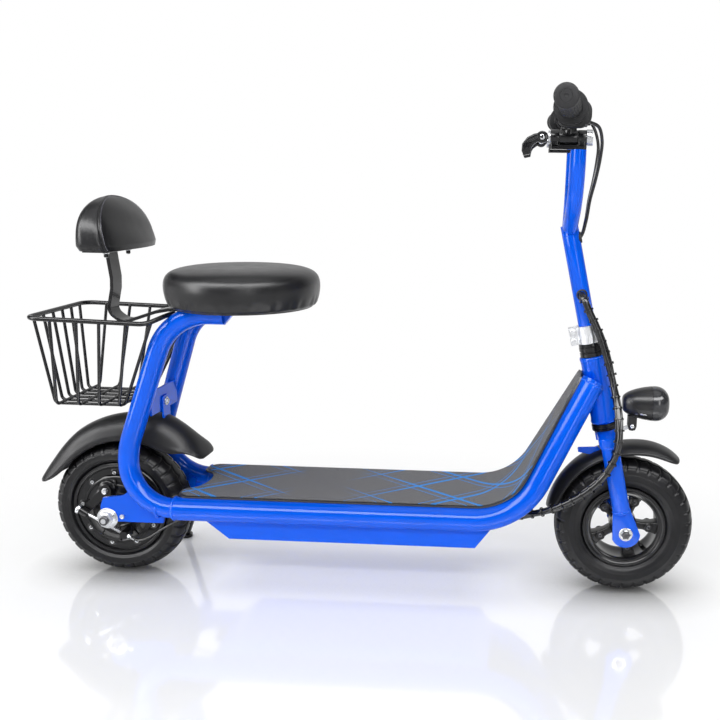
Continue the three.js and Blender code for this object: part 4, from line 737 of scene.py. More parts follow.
def build_head():
    shell = [(HEAD_BORE, HEAD_LOW)] + [(r, HEAD_LOW + s) for r, s in HEAD_LIP]
    shell += [(r, HEAD_HIGH - s) for r, s in HEAD_LIP[::-1]] + [(HEAD_BORE, HEAD_HIGH), (HEAD_BORE, HEAD_LOW)]
    bead = weld_bead(HEAD_JOINT * 0.15 + HEAD_SIDE * 0.85, HEAD_SIDE - HEAD_JOINT, RUN_R, 4, 1.2)
    parts = [lathe(shell, 96, on_axis)] + both([(bead, 1)])
    add("head_tube", parts, "frame", [BLUE, WELD], 50)
    for name, low, high, r in CUPS:
        profile = [(CUP_BORE, low), (r - 0.6, low), (r, low + 0.6)]
        profile += [(r - cut, low + (high - low) * share) for cut, share in CUP_GROOVES]
        profile += [(r - 0.8, high - 0.4), (r - 1.4, high), (CUP_BORE, high), (CUP_BORE, low)]
        add(name, [lathe(profile, 96, on_axis)], "frame", [BLACK], 35)


# Steering: fork, stem, posts and bars
LEG_R, LEG_Y, SHIELD_R = 15.5, 56.5, 26
SHIELD_TOP = [(15.3, 46), (15.3, 58), (-15.3, 58), (-15.3, 46)]
CROWN_STEPS = [(165, 2.4), (165.7, 0.7), (167.4, 0), (181.6, 0), (183.3, 0.7), (184, 2.4)]
GROMMET = [(7.2, -5), (9.4, -5), (9.8, -0.4), (9.6, 0.8), (8.6, 1.4), (7.4, 1.4), (7.2, -5)]
PORT_RING = [(8.2, -5), (9.6, -5), (9.9, -0.6), (9.4, 0.8), (8.2, 0.8), (8.2, -5)]
HINGE_Y, HINGE_Z = -80.0, 814.0
POST_PATH = rounded([(829, -12, 666), (834, HINGE_Y, 724), (835, HINGE_Y, 795.3)], 50)
BAR_ELBOW, BAR_END = np.array((824.0, HINGE_Y, 853.0)), np.array((806.0, -268.0, 861.0))
BAR_PATH = rounded([(818, HINGE_Y, HINGE_Z), BAR_ELBOW, BAR_END], 22)
BAR_R, GRIP_R, GRIP_SLOT_R, GRIP_ROWS, GRIP_STEP, GRIP_SLOTS = 11.1, 17.5, 16.7, 26, 4.05, 24
HOUSING_STEPS = [(-116, 1.6), (-116.5, 0.5), (-118, 0), (-127, 0), (-127.4, 0.5), (-128.2, 0.5), (-128.6, 0),
                 (-138, 0), (-139.5, 0.5), (-140, 1.6)]
# Middle x and z, half width and thickness along a fold lever
LEVER_STATIONS = [(784, 815, 8.4, 11), (775, 815, 9, 12.5), (765, 812.5, 9, 14), (756.5, 807.5, 9, 15.5),
                  (751, 800, 9, 16.5), (750.2, 792, 9, 15), (751.5, 786, 8.4, 11)]
LEVER_X, LEVER_RIBS = 775.5, 7
LEVER_INLAY = [(772, 819), (781, 816.5), (779, 812), (764, 808), (752, 804), (748, 807)]


def build_fork():
    axis = raked([(0, 0, 1)])[0] - raked([(0, 0, 0)])[0]
    foot, top = raked([(0, LEG_Y, 43.5), (0, LEG_Y, 165)])
    arc = np.linspace(1.08, 1.92, 40) * math.pi
    shield = [(SHIELD_R * math.cos(a), SHIELD_R * math.sin(a)) for a in arc] + SHIELD_TOP
    leg = [fork_rod(40, 174.5, LEG_R, 48, 2.0, LEG_Y), (weld_bead(foot, axis, LEG_R, 4.5, 1.3, 40), 1),
           (weld_bead(top, axis, LEG_R, 3.5, 1.2, 40), 1),
           loft([raked([(x * k, LEG_Y + depth, z * (k if z < 0 else 1)) for x, z in shield])
                 for depth, k in ((-4, 0.95), (-3.2, 1), (3.2, 1), (4, 0.95))])]
    crown = loft([raked([(x, y, s) for y, x in rounded_rect(144 - 2 * k, 36 - 2 * k, LEG_R - k, 8)])
                  for s, k in CROWN_STEPS])
    middle = [crown, fork_rod(180, 361.5, 14.3, 48, 1), fork_rod(165.4, 160, 7.5, 32, 0.8)]
    add("front_fork", both(leg) + middle, "steering", [BLUE, WELD], 42)


def build_stem():
    add("stem_tube", [fork_rod(361.8, 556, 15.5, 64, 1.2)], "steering", [BLUE], 45)
    for name, profile, place in (("loom_grommet", GROMMET, along((853.7, -15.4, 551), (0, -1, 0))),
                                 ("cable_port_ring", PORT_RING, along((849, 0, 650), (0.977, 0, 0.213)))):
        add(name, [lathe(profile, 40, place)], "steering", [GRIP])


def hinge_rod(x0, x1):
    return rod((x0, HINGE_Y, HINGE_Z), (x1, HINGE_Y, HINGE_Z), 12, 48, 0.9)


def grip_shape():
    """A ribbed grip: a flange, rows of small blocks round the barrel, and an end disc with a dimple."""
    steps = [(11.6, 66), (26.2, 66), (27, 66.8), (27, 70.2), (26.2, 71), (18.8, 71.3), (17.6, 72.5)]
    for y in 75.5 + np.arange(GRIP_ROWS) * GRIP_STEP:
        steps += [(16.6, y), (16.6, y + 0.7), (GRIP_R, y + 1.15), (GRIP_R, y + 3.6)]
    steps += [(GRIP_R, 180.5), (16.4, 181.2), (16.4, 182.8), (18.4, 183.7), (18.4, 190.2), (17.7, 191.8),
              (16.2, 192.5), (9.5, 192.5), (9.2, 192.1), (8.6, 192.1), (8.3, 192.5), (3, 192.5),
              (2.4, 191.6), (0.001, 191.2)]
    v, faces = lathe(steps, 144)
    rows = (v[:, 1] > 76) & (v[:, 1] < 180) & (np.hypot(v[:, 0], v[:, 2]) > 17.2)
    slots = np.abs(np.mod(np.arctan2(v[:, 2], v[:, 0]) / TAU * GRIP_SLOTS, 1) - 0.5) < 0.1
    v[rows & slots] *= (GRIP_SLOT_R / GRIP_R, 1, GRIP_SLOT_R / GRIP_R)
    return along(BAR_ELBOW, BAR_END - BAR_ELBOW)(v), faces


def build_bars():
    for side, word in SIDES:
        saddle = rounded_rect(58, 20, 3) + (818, HINGE_Y)
        post = [tube(POST_PATH, 13, 48), (plate(saddle, 795, 801.4, "XY"), 2)]
        for x0, x1 in ((789, 803), (833, 847)):
            web = rounded_rect(x1 - x0 - 1.4, 20, 2, 3) + ((x0 + x1) / 2, HINGE_Y)
            post += [(hinge_rod(x0, x1), 2), (plate(web, 800, 812, "XY"), 2)]
        add(word + "_bar_post", post, "steering", [BLUE, WELD, BLACK], 38, side)
    for side, word in SIDES:
        bar = [tube(BAR_PATH, BAR_R, 48), hinge_rod(803.4, 832.6),
               weld_bead((818.3, HINGE_Y, 826.5), (0.1, 0, 1), BAR_R, 3, 1, 32)]
        add(word + "_handlebar", bar, word + "_bar", [BLACK], 38, side)
    for side, name, body in ((-1, "throttle_grip", "throttle_grip"), (1, "left_grip", "left_bar")):
        add(name, [grip_shape()], body, [GRIP], 30, side)


def build_housing():
    parts = [loft([layer(rounded_rect(54 - 2 * k, 43 - 2 * k, 18 - k, 9) + (824, 847.5), y)
                   for y, k in HOUSING_STEPS]), rod((840, -117, 838), (840, -109, 838), 5.2, 24, 0.8)]
    parts += [(bolt_head(beside(x, 139.6, z), 5, 1.2), 1) for x, z in ((812, 862.5), (842, 829))]
    add("throttle_housing", parts, "right_bar", [PLASTIC, DARK], 34)


def build_fold_levers():
    """Cam levers: a boss round the pin, an arm with a ribbed pad, and a turned-down finger end."""
    rings = []
    for i, (x, z, half, thick) in enumerate(LEVER_STATIONS):
        before, after = LEVER_STATIONS[max(i - 1, 0)], LEVER_STATIONS[min(i + 1, len(LEVER_STATIONS) - 1)]
        tx, tz = unit((after[0] - before[0], after[1] - before[1]))
        rings.append([(x - tz * b, HINGE_Y + a, z + tx * b) for a, b in rounded_rect(2 * half, thick, 2.6)])
    inlay = rounded([(x, z, 0) for x, z in LEVER_INLAY], 2, loop=True, step=5)[:, :2]
    parts = [rod((LEVER_X, -89, HINGE_Z), (LEVER_X, -71, HINGE_Z), 9.6, 40, 1.2), loft(rings),
             (plate(inlay, -90.4, -88.6), 1)]
    for share in (np.arange(LEVER_RIBS) + 0.5) / LEVER_RIBS:
        rib = np.array((777 - 24 * share, -90.2, 815.4 - 9 * share))
        parts.append((rod(rib + (0.9, 0, 2.6), rib - (0.9, 0, 2.6), 0.9, 12, 0.3), 1))
    for y, way in ((-88.8, -1), (-71.2, 1)):
        parts.append((bolt_head(along((LEVER_X, y, HINGE_Z), (0, way, 0)), 9, 2), 2))
    for side, word in SIDES:
        name = word + "_fold_lever"
        add(name, parts, name, [BLACK, GRIP, ZINC], 36, side)


def build_crown_tab():
    """A small folded bracket behind the fork crown."""
    outline = [(858, 273), (858, 265), (895, 258), (899, 260), (899, 269), (893, 275)]
    foot = raked([(x, 0, s) for x, s in ((-17.5, 168), (-17.5, 181), (-20.5, 181), (-20.5, 168))])
    parts = [plate(outline, -14, -11.6), plate([(858, 266), (895, 259), (895, 256.8), (858, 263.8)], -14, 8),
             plate(foot[:, [0, 2]], -14, 8)]
    add("crown_bracket", parts, "steering", [BLUE], bevel=0.6)


# Wheels and axles
TYRE_AROUND, TYRE_PITCH = 720, TAU / 34
TREAD_HALF = [(116.5, 29.8), (121.5, 23.8), (124.9, 15.5), (126.6, 7.5), (TYRE_R, 0)]
FRONT_FLANGE, REAR_FLANGE = 75.3, 89.0
FRONT_PROFILE = [(63, 0), (62.4, 14), (61, 20), (60.6, 26.2), (61.4, 27.9), (63.4, 28.5), (64.8, 27.7),
                 (66.4, 26.6), (68.4, 26.4), (70.2, 27.2), (71.4, 28.3), (73.4, 28.5), (75, 28.3),
                 (75.3, 27.3), (75.3, 24.8), (74.2, 24), (70.3, 23.5), (70.3, 0)]
FRONT_HUB = [(8.5, -31), (19.5, -31), (21, -29.6), (21, -14), (25, -11), (25, 11), (21, 14), (21, 29.6),
             (19.5, 31), (8.5, 31), (8.5, -31)]
# Distance from the hub's middle, half width and half thickness of a spoke
SPOKE = [(15, 8.5, 9.5), (24, 7.2, 9.6), (36, 6.6, 10), (46, 8.2, 11), (54, 9.6, 12), (60, 11.5, 12.6),
         (65, 13.5, 13.2)]
SPOKE_START, VALVE_START = math.radians(66), math.radians(-52)
SPOKE_BOSS = [(8.6, 0), (8.6, 3), (7.6, 3.8), (5.2, 3.8), (0.001, 3.8)]
VALVE = [(0.001, 20), (1.6, 20), (1.9, 19.4), (1.9, 16), (2.6, 15.6), (2.6, 6), (3.6, 5), (3.8, 0),
         (0.001, 0)]
BEARING_SEAL = [(10.2, 28.6), (17.6, 28.8), (18.4, 29.4), (18.4, 31.2), (10.2, 31.4), (10.2, 28.6)]
REAR_PROFILE = [(8.5, 31.5), (14, 31.5), (14.6, 31.1), (24.6, 31.1), (26, 29.8), (26.6, 28.9), (30, 28.2),
                (47, 26.6), (49, 26.9), (50.5, 26.9), (52, 26.2), (62, 25.0), (63.5, 26.2), (79.5, 26.2),
                (80.5, 25.4), (82.4, 25.4), (83.2, 27.6), (85.4, 28.4), (87.8, 28.4), (89, 27.4), (89, 24.4),
                (84.2, 23.9), (84.2, -23.9), (89, -24.4), (89, -27.4), (87.8, -28.4), (85.4, -28.4),
                (83.2, -27.6), (82.4, -24.6), (80.5, -24.6), (79.5, -25.8), (60.5, -25.8), (59.4, -27.3),
                (56.2, -27.3), (55.2, -26.2), (54, -26.2), (54, -6.4), (8.5, -6.4), (8.5, 31.5)]
PAD_DISC = [(7.4, 0), (7.4, 0.9), (6.6, 1.4), (0.001, 1.4)]
BRAKE_FACE = [(8.4, -33.2), (30, -33.2), (31.5, -34.6), (33.5, -34.6), (35, -33.2), (46, -32.6),
              (47.4, -33.8), (49, -33.8), (50.4, -32.8), (60.5, -32.4), (61.6, -33.4), (64.6, -33.4),
              (66, -32.4), (66, -30.6), (65, -30), (8.4, -30), (8.4, -33.2)]
BRAKE_SLEEVE = [(8.4, -68.7), (12.2, -68.7), (13, -67.9), (13, -40), (15, -35.5), (19, -33), (8.4, -33),
                (8.4, -68.7)]
CAM = [(0.001, 10.4), (8.5, 10.4), (9.4, 9.7), (14.5, 9.2), (16.4, 8), (17.6, 4), (19, 0.4), (19, 0),
       (0.001, 0)]
CAM_X, CAM_Z, ANCHOR_X, ANCHOR_Z, BRAKE_Y = -16, 41 + AXLE, 18, AXLE - 41, -30
AXLE_WASHER = [(6.2, 0), (15.6, 0), (15.6, 1.4), (14.8, 1.9), (6.2, 1.9), (6.2, 0)]
AXLE_END = [(5.9, 70), (8.4, 87), (8.4, 92), (7.4, 93), (4.6, 93), (4.2, 88), (0.001, 88)]
SPACER = [(8.1, 31.7), (9.5, 31.7), (9.5, 52), (8.1, 52), (8.1, 31.7)]


def build_axles():
    for side, word in SIDES:
        nuts = [washer(beside(0, 75.3, AXLE), 19.5, 6.2, 1.3), washer(beside(0, 76.6, AXLE), 17.2, 6.2, 1.4),
                lathe(AXLE_WASHER, 48, beside(0, 78, AXLE)), hex_nut(beside(0, 79.8, AXLE), 24, 7.6),
                bolt_head(beside(28, 75, AXLE + 4), 9, 3.4)]
        add(word + "_axle_nut", nuts, "frame", [ZINC], 30, side)
        end = lathe([(r, -y) for r, y in AXLE_END], 40, at_wheel(0))
        add(word + "_axle_end", [end], "frame", [DARK], side=side)
    ends = [washer(beside(WHEELBASE, 60.8, AXLE), 12.4, 8, 2),
            (hex_nut(beside(WHEELBASE, 62.8, AXLE), 15, 3.4), 1),
            (bolt_head(beside(WHEELBASE, 66, AXLE), 9, 1.8), 1),
            (lathe(SPACER, 40, at_wheel(WHEELBASE)), 1)]
    parts = [rod((WHEELBASE, -66, AXLE), (WHEELBASE, 66, AXLE), 8, 32, 0.5)] + both(ends)
    add("front_axle", parts, "steering", [STEEL, DARK], 30)


def smoothstep(x):
    x = np.clip(x, 0, 1)
    return x * x * (3 - 2 * x)


def tyre_shape(x, flange):
    """A treaded tyre: a round casing with curved sipes, two grooves and fine sidewall rings."""
    bulge = (flange + 118) / 2
    wall = [(flange - 5, 22), (flange - 1, 23), (flange + 2.2, 25.6), (flange + (bulge - flange) * 0.45, 31),
            (bulge, 33.6), (bulge + 7, 33.2)]
    half = smooth_line(wall + TREAD_HALF, 1.15)
    profile = np.concatenate([half, half[::-1][1:] * (1, -1)])
    d = unit(np.gradient(profile, axis=0))
    out = np.stack([-d[:, 1], d[:, 0]], 1)
    out *= np.sign(out[len(out) // 2, 0]) or 1
    r, y = profile[:, :1], profile[:, 1:]
    a, t = angles(TYRE_AROUND)[None], y / 30
    rings = ((flange + 4.5, 0.7, 1.2), (bulge - 5, 0.45, 1.0), (bulge + 4.5, 0.6, 1.0))
    rise = sum(height * np.exp(-((r - at) / width) ** 2) for at, height, width in rings)
    bow = 0.062 * np.sin(np.clip(np.abs(t), 0, 1.3) * 2.6) + 0.05 * t ** 2
    phase = np.mod((a + bow + np.where(t > 0, TYRE_PITCH / 2, 0)) / TYRE_PITCH + 0.5, 1) - 0.5
    sipe = smoothstep(1.35 - np.abs(phase) / (0.085 + 0.035 * np.clip(np.abs(t), 0, 1)))
    zigzag = np.abs(np.abs(t) - 0.36 - 0.05 * np.sin(a / TYRE_PITCH * TAU)) * 30
    grooves = np.maximum(sipe * smoothstep((np.abs(t) - 0.13) / 0.1), smoothstep(1.5 - zigzag / 1.5) * 0.8)
    shoulder = smoothstep(1.4 - np.abs(r - 113.5) / 0.8) * 0.5
    move = rise - grooves * smoothstep((r - 107) / 7) * 1.7 - shoulder * (1 - sipe)
    reach = np.minimum(r + out[:, :1] * move, TYRE_R)
    v = np.stack([reach * np.cos(a), y + out[:, 1:] * move, reach * np.sin(a)], 2)
    inner = layer(circle(flange - 4.6, TYRE_AROUND), 0)
    return moved(loft(np.concatenate([v, inner[None]]), closed=True), at_wheel(x))


def rib_shape(foot, top, fall, stations):
    """A radial rib from pairs of y and half width, whose top falls along its length."""
    (foot_y, foot_half), (top_y, top_half) = foot, top
    return loft([[(x, foot_y, -foot_half), (x, top_y - fall * x, -top_half), (x, top_y - fall * x, top_half),
                  (x, foot_y, foot_half)] for x in stations])


def build_front_wheel():
    add("front_tyre", [tyre_shape(WHEELBASE, FRONT_FLANGE)], "front_wheel", [TYRE], 60)
    place = at_wheel(WHEELBASE)
    profile = FRONT_PROFILE + [(r, -y) for r, y in FRONT_PROFILE[-2:0:-1]] + FRONT_PROFILE[:1]
    parts = [lathe(profile, 180, place), lathe(FRONT_HUB, 72, place)]
    spoke = loft([[(x, y, z) for y, z in rounded_rect(2 * thick, 2 * wide, 2.6)]
                  for x, wide, thick in SPOKE])
    parts += ring_of(spoke, 5, SPOKE_START, WHEELBASE)
    for side in (-1, 1):
        boss = lathe(SPOKE_BOSS, 40, beside(47.2, 10.6, 0, side))
        bolt = bolt_head(beside(47.2, 13.4, 0, side), 8.4, 1.6)
        parts += ring_of(boss, 5, SPOKE_START, WHEELBASE)
        parts += with_look(ring_of(bolt, 5, SPOKE_START, WHEELBASE), 1)
    valve = lathe(VALVE, 24, along((62.4, 6, 0), (-0.92, 0.38, 0)))
    parts += with_look(ring_of(valve, 1, VALVE_START, WHEELBASE), 2)
    add("front_rim", parts, "front_wheel", [BLACK, DARK, GRIP], 36)
    for side, word in SIDES:
        seal = lathe([(r, -y) for r, y in BEARING_SEAL], 64, place)
        add("bearing_seal_" + word, [seal], "front_wheel", [DARK], side=side)


def build_rear_wheel():
    add("rear_tyre", [tyre_shape(0, REAR_FLANGE)], "rear_wheel", [TYRE], 60)
    parts = [lathe(REAR_PROFILE, 180, at_wheel(0))]
    for side, face, radius in ((1, 26.2, 71.5), (-1, 25.8, 70.5)):
        screw = bolt_head(beside(radius, face, 0, side), 7.2, 2.6)
        pad = lathe(PAD_DISC, 32, beside(radius, face - 0.2, 0, side))
        parts += with_look(ring_of(screw, 9, 0.25, 0), 1) + ring_of(pad, 9, 0.25, 0)
    parts += ring_of(rib_shape((26.4, 1.4), (28.7, 1.0), 0.02, (28, 36, 46)), 12, 0.1, 0)
    add("rear_hub_shell", parts, "rear_wheel", [HUB_BLACK, ZINC], 34)


def build_brake_plate():
    place, anchor = at_wheel(0), rounded_rect(13, 13, 3)

    def foot(outline, x, z, *steps):
        return loft([layer(outline, BRAKE_Y - y, k) + (x, 0, z) for y, k in steps])

    rib = rib_shape((-32.4, 1.6), (-34.9, 1.1), 0, (16, 30, 48, 60))
    parts = [lathe(BRAKE_FACE, 144, place), lathe(BRAKE_SLEEVE, 64, place), *ring_of(rib, 10, 0.33, 0),
             lathe(CAM, 56, beside(CAM_X, -BRAKE_Y, CAM_Z)),
             foot(circle(16.6, 40), CAM_X, CAM_Z, (0, 1.4), (2.4, 1.2), (4.6, 1.06), (6.2, 1.0)),
             (rod((CAM_X, -38, CAM_Z), (CAM_X, -51, CAM_Z), 5, 32, 0.8), 1),
             (hex_nut(beside(CAM_X, 45.6, CAM_Z), 10.5, 3.6), 1),
             plate(anchor + (ANCHOR_X, ANCHOR_Z), -56.5, BRAKE_Y),
             foot(anchor, ANCHOR_X, ANCHOR_Z, (0, 1.7), (2.4, 1.25), (5, 1.02))]
    add("brake_backing_plate", parts, "frame", [HUB_BLACK, ZINC], 34)


# Seat and backrest
SEAT_X, SEAT_FOOT, SEAT_R, SEAT_HIGH, SEAT_AROUND = 246.0, 515.5, 137.0, 73.5, 180
SEAT_SHARES = [(0.9, 0.015), (0.945, 0.07), (0.965, 0.16), (0.985, 0.28), (0.998, 0.42), (1.0, 0.54),
               (0.99, 0.66), (0.965, 0.76), (0.915, 0.845), (0.84, 0.905), (0.73, 0.95), (0.58, 0.978),
               (0.4, 0.992), (0.2, 0.998), (0.001, 1.0)]
SEAT_UNDER = [(0.001, 0.335), (0.6, 0.335), (0.826, 0.3), (0.83, 0.02), (0.86, 0.0), (0.885, 0.0)]
SECTION_SHARES = [(-1, 0.5), (-0.985, 0.2), (-0.88, 0.04), (-0.45, 0), (0, 0), (0.45, 0), (0.88, 0.04),
                  (0.985, 0.2), (1, 0.5), (0.985, 0.72), (0.93, 0.85), (0.8, 0.94), (0.45, 1.04), (0, 1.08),
                  (-0.45, 1.04), (-0.8, 0.94), (-0.93, 0.85), (-0.985, 0.72), (-1, 0.5)]
PAD_FOOT, PAD_HIGH, PAD_HALF, PAD_AROUND, SEAM_SHARE = 615.5, 92.0, 108.0, 192, 0.8
STUD_X, STUD_Y, STUD_Z = 17, 43, 612.4


def build_seat():
    """A round crowned saddle pad, drawn in under its shoulder, with soft gathers near its foot."""
    a = angles(SEAT_AROUND)

    def ring(r, h):
        return np.stack([SEAT_X + SEAT_R * r * np.cos(a), SEAT_R * r * np.sin(a),
                         np.broadcast_to(SEAT_FOOT + SEAT_HIGH * h, SEAT_AROUND)], 1)

    rings = [ring(r, h) for r, h in SEAT_UNDER]
    for r, h in smooth_line(SEAT_SHARES, 0.022):
        low = math.exp(-((h - 0.16) / 0.13) ** 2) * (r > 0.5)
        gather = 0.0055 * low * (np.sin(a * 31 + 1.3 * np.sin(a * 3)) + 0.6 * np.sin(a * 47 + 0.7))
        dent = -0.006 * math.exp(-((h - 0.5) / 0.35) ** 2) * (np.sin(a * 5 + 0.8) + 0.6 * np.sin(a * 9 + 2.1))
        sag = 0.012 * (1 - r) ** 2 * np.cos(a * 2)
        rings.append(ring(r + gather + dent * r, h - 0.03 * max(0, 1 - r / 0.75) ** 2 + sag * r))
    seat = add("seat_cushion_cover", [loft(rings, caps=False)], "frame", [LEATHER], 70,
               stands_for="seat_cushion")
    cord = np.insert(circle(121.8, 120), 2, SEAT_FOOT + 1.5, axis=1) + (SEAT_X, 0, 0)
    add("seat_edge_piping", [tube(cord, 1.9, 10, closed=True)], "frame", [LEATHER], 70)


def pad_size(h):
    """Rear face, depth and half width of the pad at a share of its height."""
    s, q = max(0.0, (h - 0.08) / 0.92), max(0.0, (h - 0.3) / 0.7)
    base, full = 0.93 + 0.07 * min(1.0, h / 0.1), 70 - 30 * h
    depth = full * base * max(0.0, 1 - q ** 3.2) ** 0.5
    return -12 + 4 * h + (full - depth) * 0.5, depth, PAD_HALF * base * max(0.0, 1 - s ** 2.6) ** 0.5


def build_backrest():
    """A moulded pad with a raised twin-stitched seam between its side band and its front panel."""
    loop = smooth_line(SECTION_SHARES, 0.02)
    w, d = resampled(loop, np.linspace(0, distances(loop)[-1], PAD_AROUND, endpoint=False)).T
    levels = [np.linspace(0, 0.12, 6)[:-1], np.linspace(0.12, 0.8, 28)[:-1],
              1 - 0.2 * np.linspace(1, 0, 26) ** 2]
    rings, seam_lines = [], {-1: [], 1: []}
    for h in np.concatenate(levels):
        rear, depth, half = pad_size(min(h, 0.9995))
        seam = np.exp(-((d - SEAM_SHARE) / 0.02) ** 2) * (np.abs(w) > 0.6)
        pull = np.exp(-((h - 0.05) / 0.05) ** 2) * np.sin(np.arange(PAD_AROUND) * 0.62) * (np.abs(w) > 0.4)
        crease = np.sin(h * 11 + w * 3.3) * 0.5 * (d > 0.9)
        rings.append(np.stack([rear + depth * d * (1 - 0.012 * seam) + crease,
                               half * w * (1 - 0.022 * seam + 0.006 * pull),
                               np.full(PAD_AROUND, PAD_FOOT + PAD_HIGH * h)], 1))
        for side, line in seam_lines.items():
            line.append(rings[-1][np.argmin(np.abs(d - SEAM_SHARE) + (np.sign(w) != side) * 10)])
    low, center = rings[0], rings[0].mean(0)
    bottom = [center + (low - center) * (k, k, 1) for k in (0.02, 0.7, 0.95)]
    pad = add("backrest_cover", [loft(bottom + rings)], "frame", [LEATHER], 70,
              stands_for="backrest_cushion")
    seam_path = smooth_path((seam_lines[-1] + seam_lines[1][::-1])[::2], 1.4)
    add("backrest_welt", [tube(seam_path, 1.1, 10)], "frame", [LEATHER], 70)
    stitches = []
    for row, out in ((-1, 0.35), (1, -0.9)):
        line = []
        for p in seam_path:
            share = (p[2] - PAD_FOOT) / PAD_HIGH
            around = unit((0, p[1] / max(pad_size(min(0.9995, share))[2], 1e-3), share * 0.9))
            line.append(p + (3.4 * row, 0, 0) + around * out)
        for start, middle, end in zip(line[1:-3:3], line[2::3], line[3::3]):
            lift = np.array([0, (start + end)[1] / 2 / PAD_HALF, 0.6]) * 0.5
            path = [start, (start + middle) / 2 + lift, (middle + end) / 2 + lift, end]
            stitches.append(tube(path, 0.34, 6))
    add("backrest_stitching", stitches, "frame", [THREAD], 70)
    place = along((STUD_X, -STUD_Y, STUD_Z), (0, 0, -1))
    studs = [hex_nut(place, 10, 5), washer(place, 7.6, 3, 1.2),
             rod((STUD_X, -STUD_Y, 612), (STUD_X, -STUD_Y, 600.5), 3, 20, 0.6)]
    add("backrest_stud_nuts", both(studs), "frame", [ZINC])


# Basket
BASKET_RIM = rounded([(-105, 105, 500), (108, 105, 494), (131, 76, 505), (131, 42, 505), (131, 26, 498),
                      (131, -26, 498), (131, -42, 505), (131, -76, 505), (108, -105, 494), (-105, -105, 500)],
                     [22, 14, 12, 4, 4, 4, 4, 12, 14, 22], loop=True, step=9)
CROSS_WIRES = [(-62, -75), (-15, -35), (25, 3), (72, 39)]
# y at the rear, the floor and the front, then x and z at the front
LONG_WIRES = [(80, 60, 96, 115, 498), (48, 36, 42, 131, 505), (16, 12, 14, 131, 498)]


def build_basket():
    def wire(corners, cut):
        return tube(rounded(corners, cut, step=12), 2.8, 16)

    parts, halves = [tube(BASKET_RIM, 4.2, 20, closed=True)], []
    for top_x, low_x in CROSS_WIRES:
        z = 497 - 6 * (top_x + 105) / 213
        parts.append(wire([(top_x, 103.5, z), (low_x, 80, 341), (low_x, -80, 341), (top_x, -103.5, z)], 10))
        halves.append(weld_blob((top_x, 104, z + 1), 3.9))
    for rear, middle, front, x, z in LONG_WIRES:
        corners = [(-103.5, rear, 497), (-88, middle, 338.6), (41, middle, 338.6), (x - 1.5, front, z - 3)]
        halves += [wire(corners, 8), weld_blob((-104, rear, 498), 3.4), weld_blob((x, front, z - 1), 3.4)]
        halves += [weld_blob((low_x, middle, 340), 2.9) for _, low_x in CROSS_WIRES]
    add("cargo_basket", parts + both(halves), "frame", [BLACK], 60)


# Fenders. Stations are the angle round the wheel, the gap over the tyre and the drop of the edge.
REAR_STATIONS = [(161, 33, 9), (152, 31, 24), (141, 30, 31), (130, 33, 35), (119, 38, 38), (103, 45, 40),
                 (85, 55, 43), (73, 65, 49), (64, 73, 53), (55, 74, 52), (50, 74, 47), (45, 74, 36),
                 (41, 74, 22), (37, 74, 12), (32, 74, 6)]
FRONT_STATIONS = [(53, 33, 5), (62, 35, 12), (74, 34, 15), (86, 30, 15), (98, 26.5, 15), (110, 24, 15),
                  (124, 22, 15), (140, 20, 15), (156, 19, 15), (168, 19, 11)]
FENDER_CROSS = [(0, 0), (0.22, 0.02), (0.45, 0.085), (0.64, 0.2), (0.8, 0.37), (0.91, 0.58), (0.975, 0.8),
                (1, 1)]
FENDER_THICK = 2.6


def fender_shape(stations, half_width, axle_x, ends):
    """A thin shell with a rolled edge and rounded ends."""
    path = smooth_path([((TYRE_R + gap) * math.radians(a), gap, drop) for a, gap, drop in stations], 3.2)
    cross = smooth_line([(-w, d) for w, d in FENDER_CROSS[:0:-1]] + FENDER_CROSS, 0.055)
    run = distances(path)
    (w, d), rings = cross.T, []
    bead = np.copysign(0.9 * np.exp(-((np.abs(w) - 0.985) / 0.03) ** 2), w)
    for (arc, gap, drop), done in zip(path, run):
        near = min(done / ends[0], (run[-1] - done) / ends[1], 1.0)
        narrow = 1 - 0.42 * (1 - math.sqrt(max(0.0, 1 - (1 - near) ** 2)))
        a = arc / (TYRE_R + gap)
        r, y = TYRE_R + gap - d * drop * (0.75 + 0.25 * narrow), w * half_width * narrow
        outer, inner = (np.stack([axle_x + r * math.cos(a), y, AXLE + r * math.sin(a)], 1)
                        for r, y in ((r, y + bead), (r - FENDER_THICK, y * (1 - FENDER_THICK / half_width))))
        rings.append([*outer, *inner[::-1]])
    return loft(rings)


def build_fenders():
    parts = [fender_shape(REAR_STATIONS, 41, 0, (20.0, 26.0)),
             (plate(rounded_rect(30, 46, 8, 5) + (0, 322), 88.4, 91.3, "YZ"), 2),
             (washer(along((91.3, 0, 333), (1, 0, 0)), 8, 3, 1.2), 1),
             (bolt_head(along((92.3, 0, 333), (1, 0, 0)), 10, 3.4), 1)]
    add("rear_fender", parts, "frame", [FENDER, ZINC, BLUE], 50)
    parts = [fender_shape(FRONT_STATIONS, 36, WHEELBASE, (22.0, 12.0)), fork_rod(164.6, 146, 9, 32, 1)]
    add("front_fender", parts, "steering", [FENDER], 50)


# Headlight
LAMP_HALF, LAMP_HIGH, LAMP_Z, LAMP_SQUARE = 33.0, 31.0, 355.0, 0.88
HOUSING_REAR, HOUSING_FRONT, LENS_REAR, LENS_FRONT = 935, 985.6, 986.4, 1017.6
HOUSING_SHARES = [(0, 0.32), (0.025, 0.42), (0.09, 0.53), (0.22, 0.66), (0.42, 0.79), (0.7, 0.91),
                  (1, 0.985)]
LENS_SHARES = [(0, 0.985), (0.22, 1.0), (0.45, 0.975), (0.64, 0.9), (0.8, 0.78), (0.92, 0.62), (0.98, 0.48),
               (1, 0.36)]
LAMP_EAR = [(946, 313), (948.5, 306), (954, 304.8), (959.5, 306), (962, 313), (962, 332), (946, 332)]
SLIT_X, SLIT_Z = 966, 340


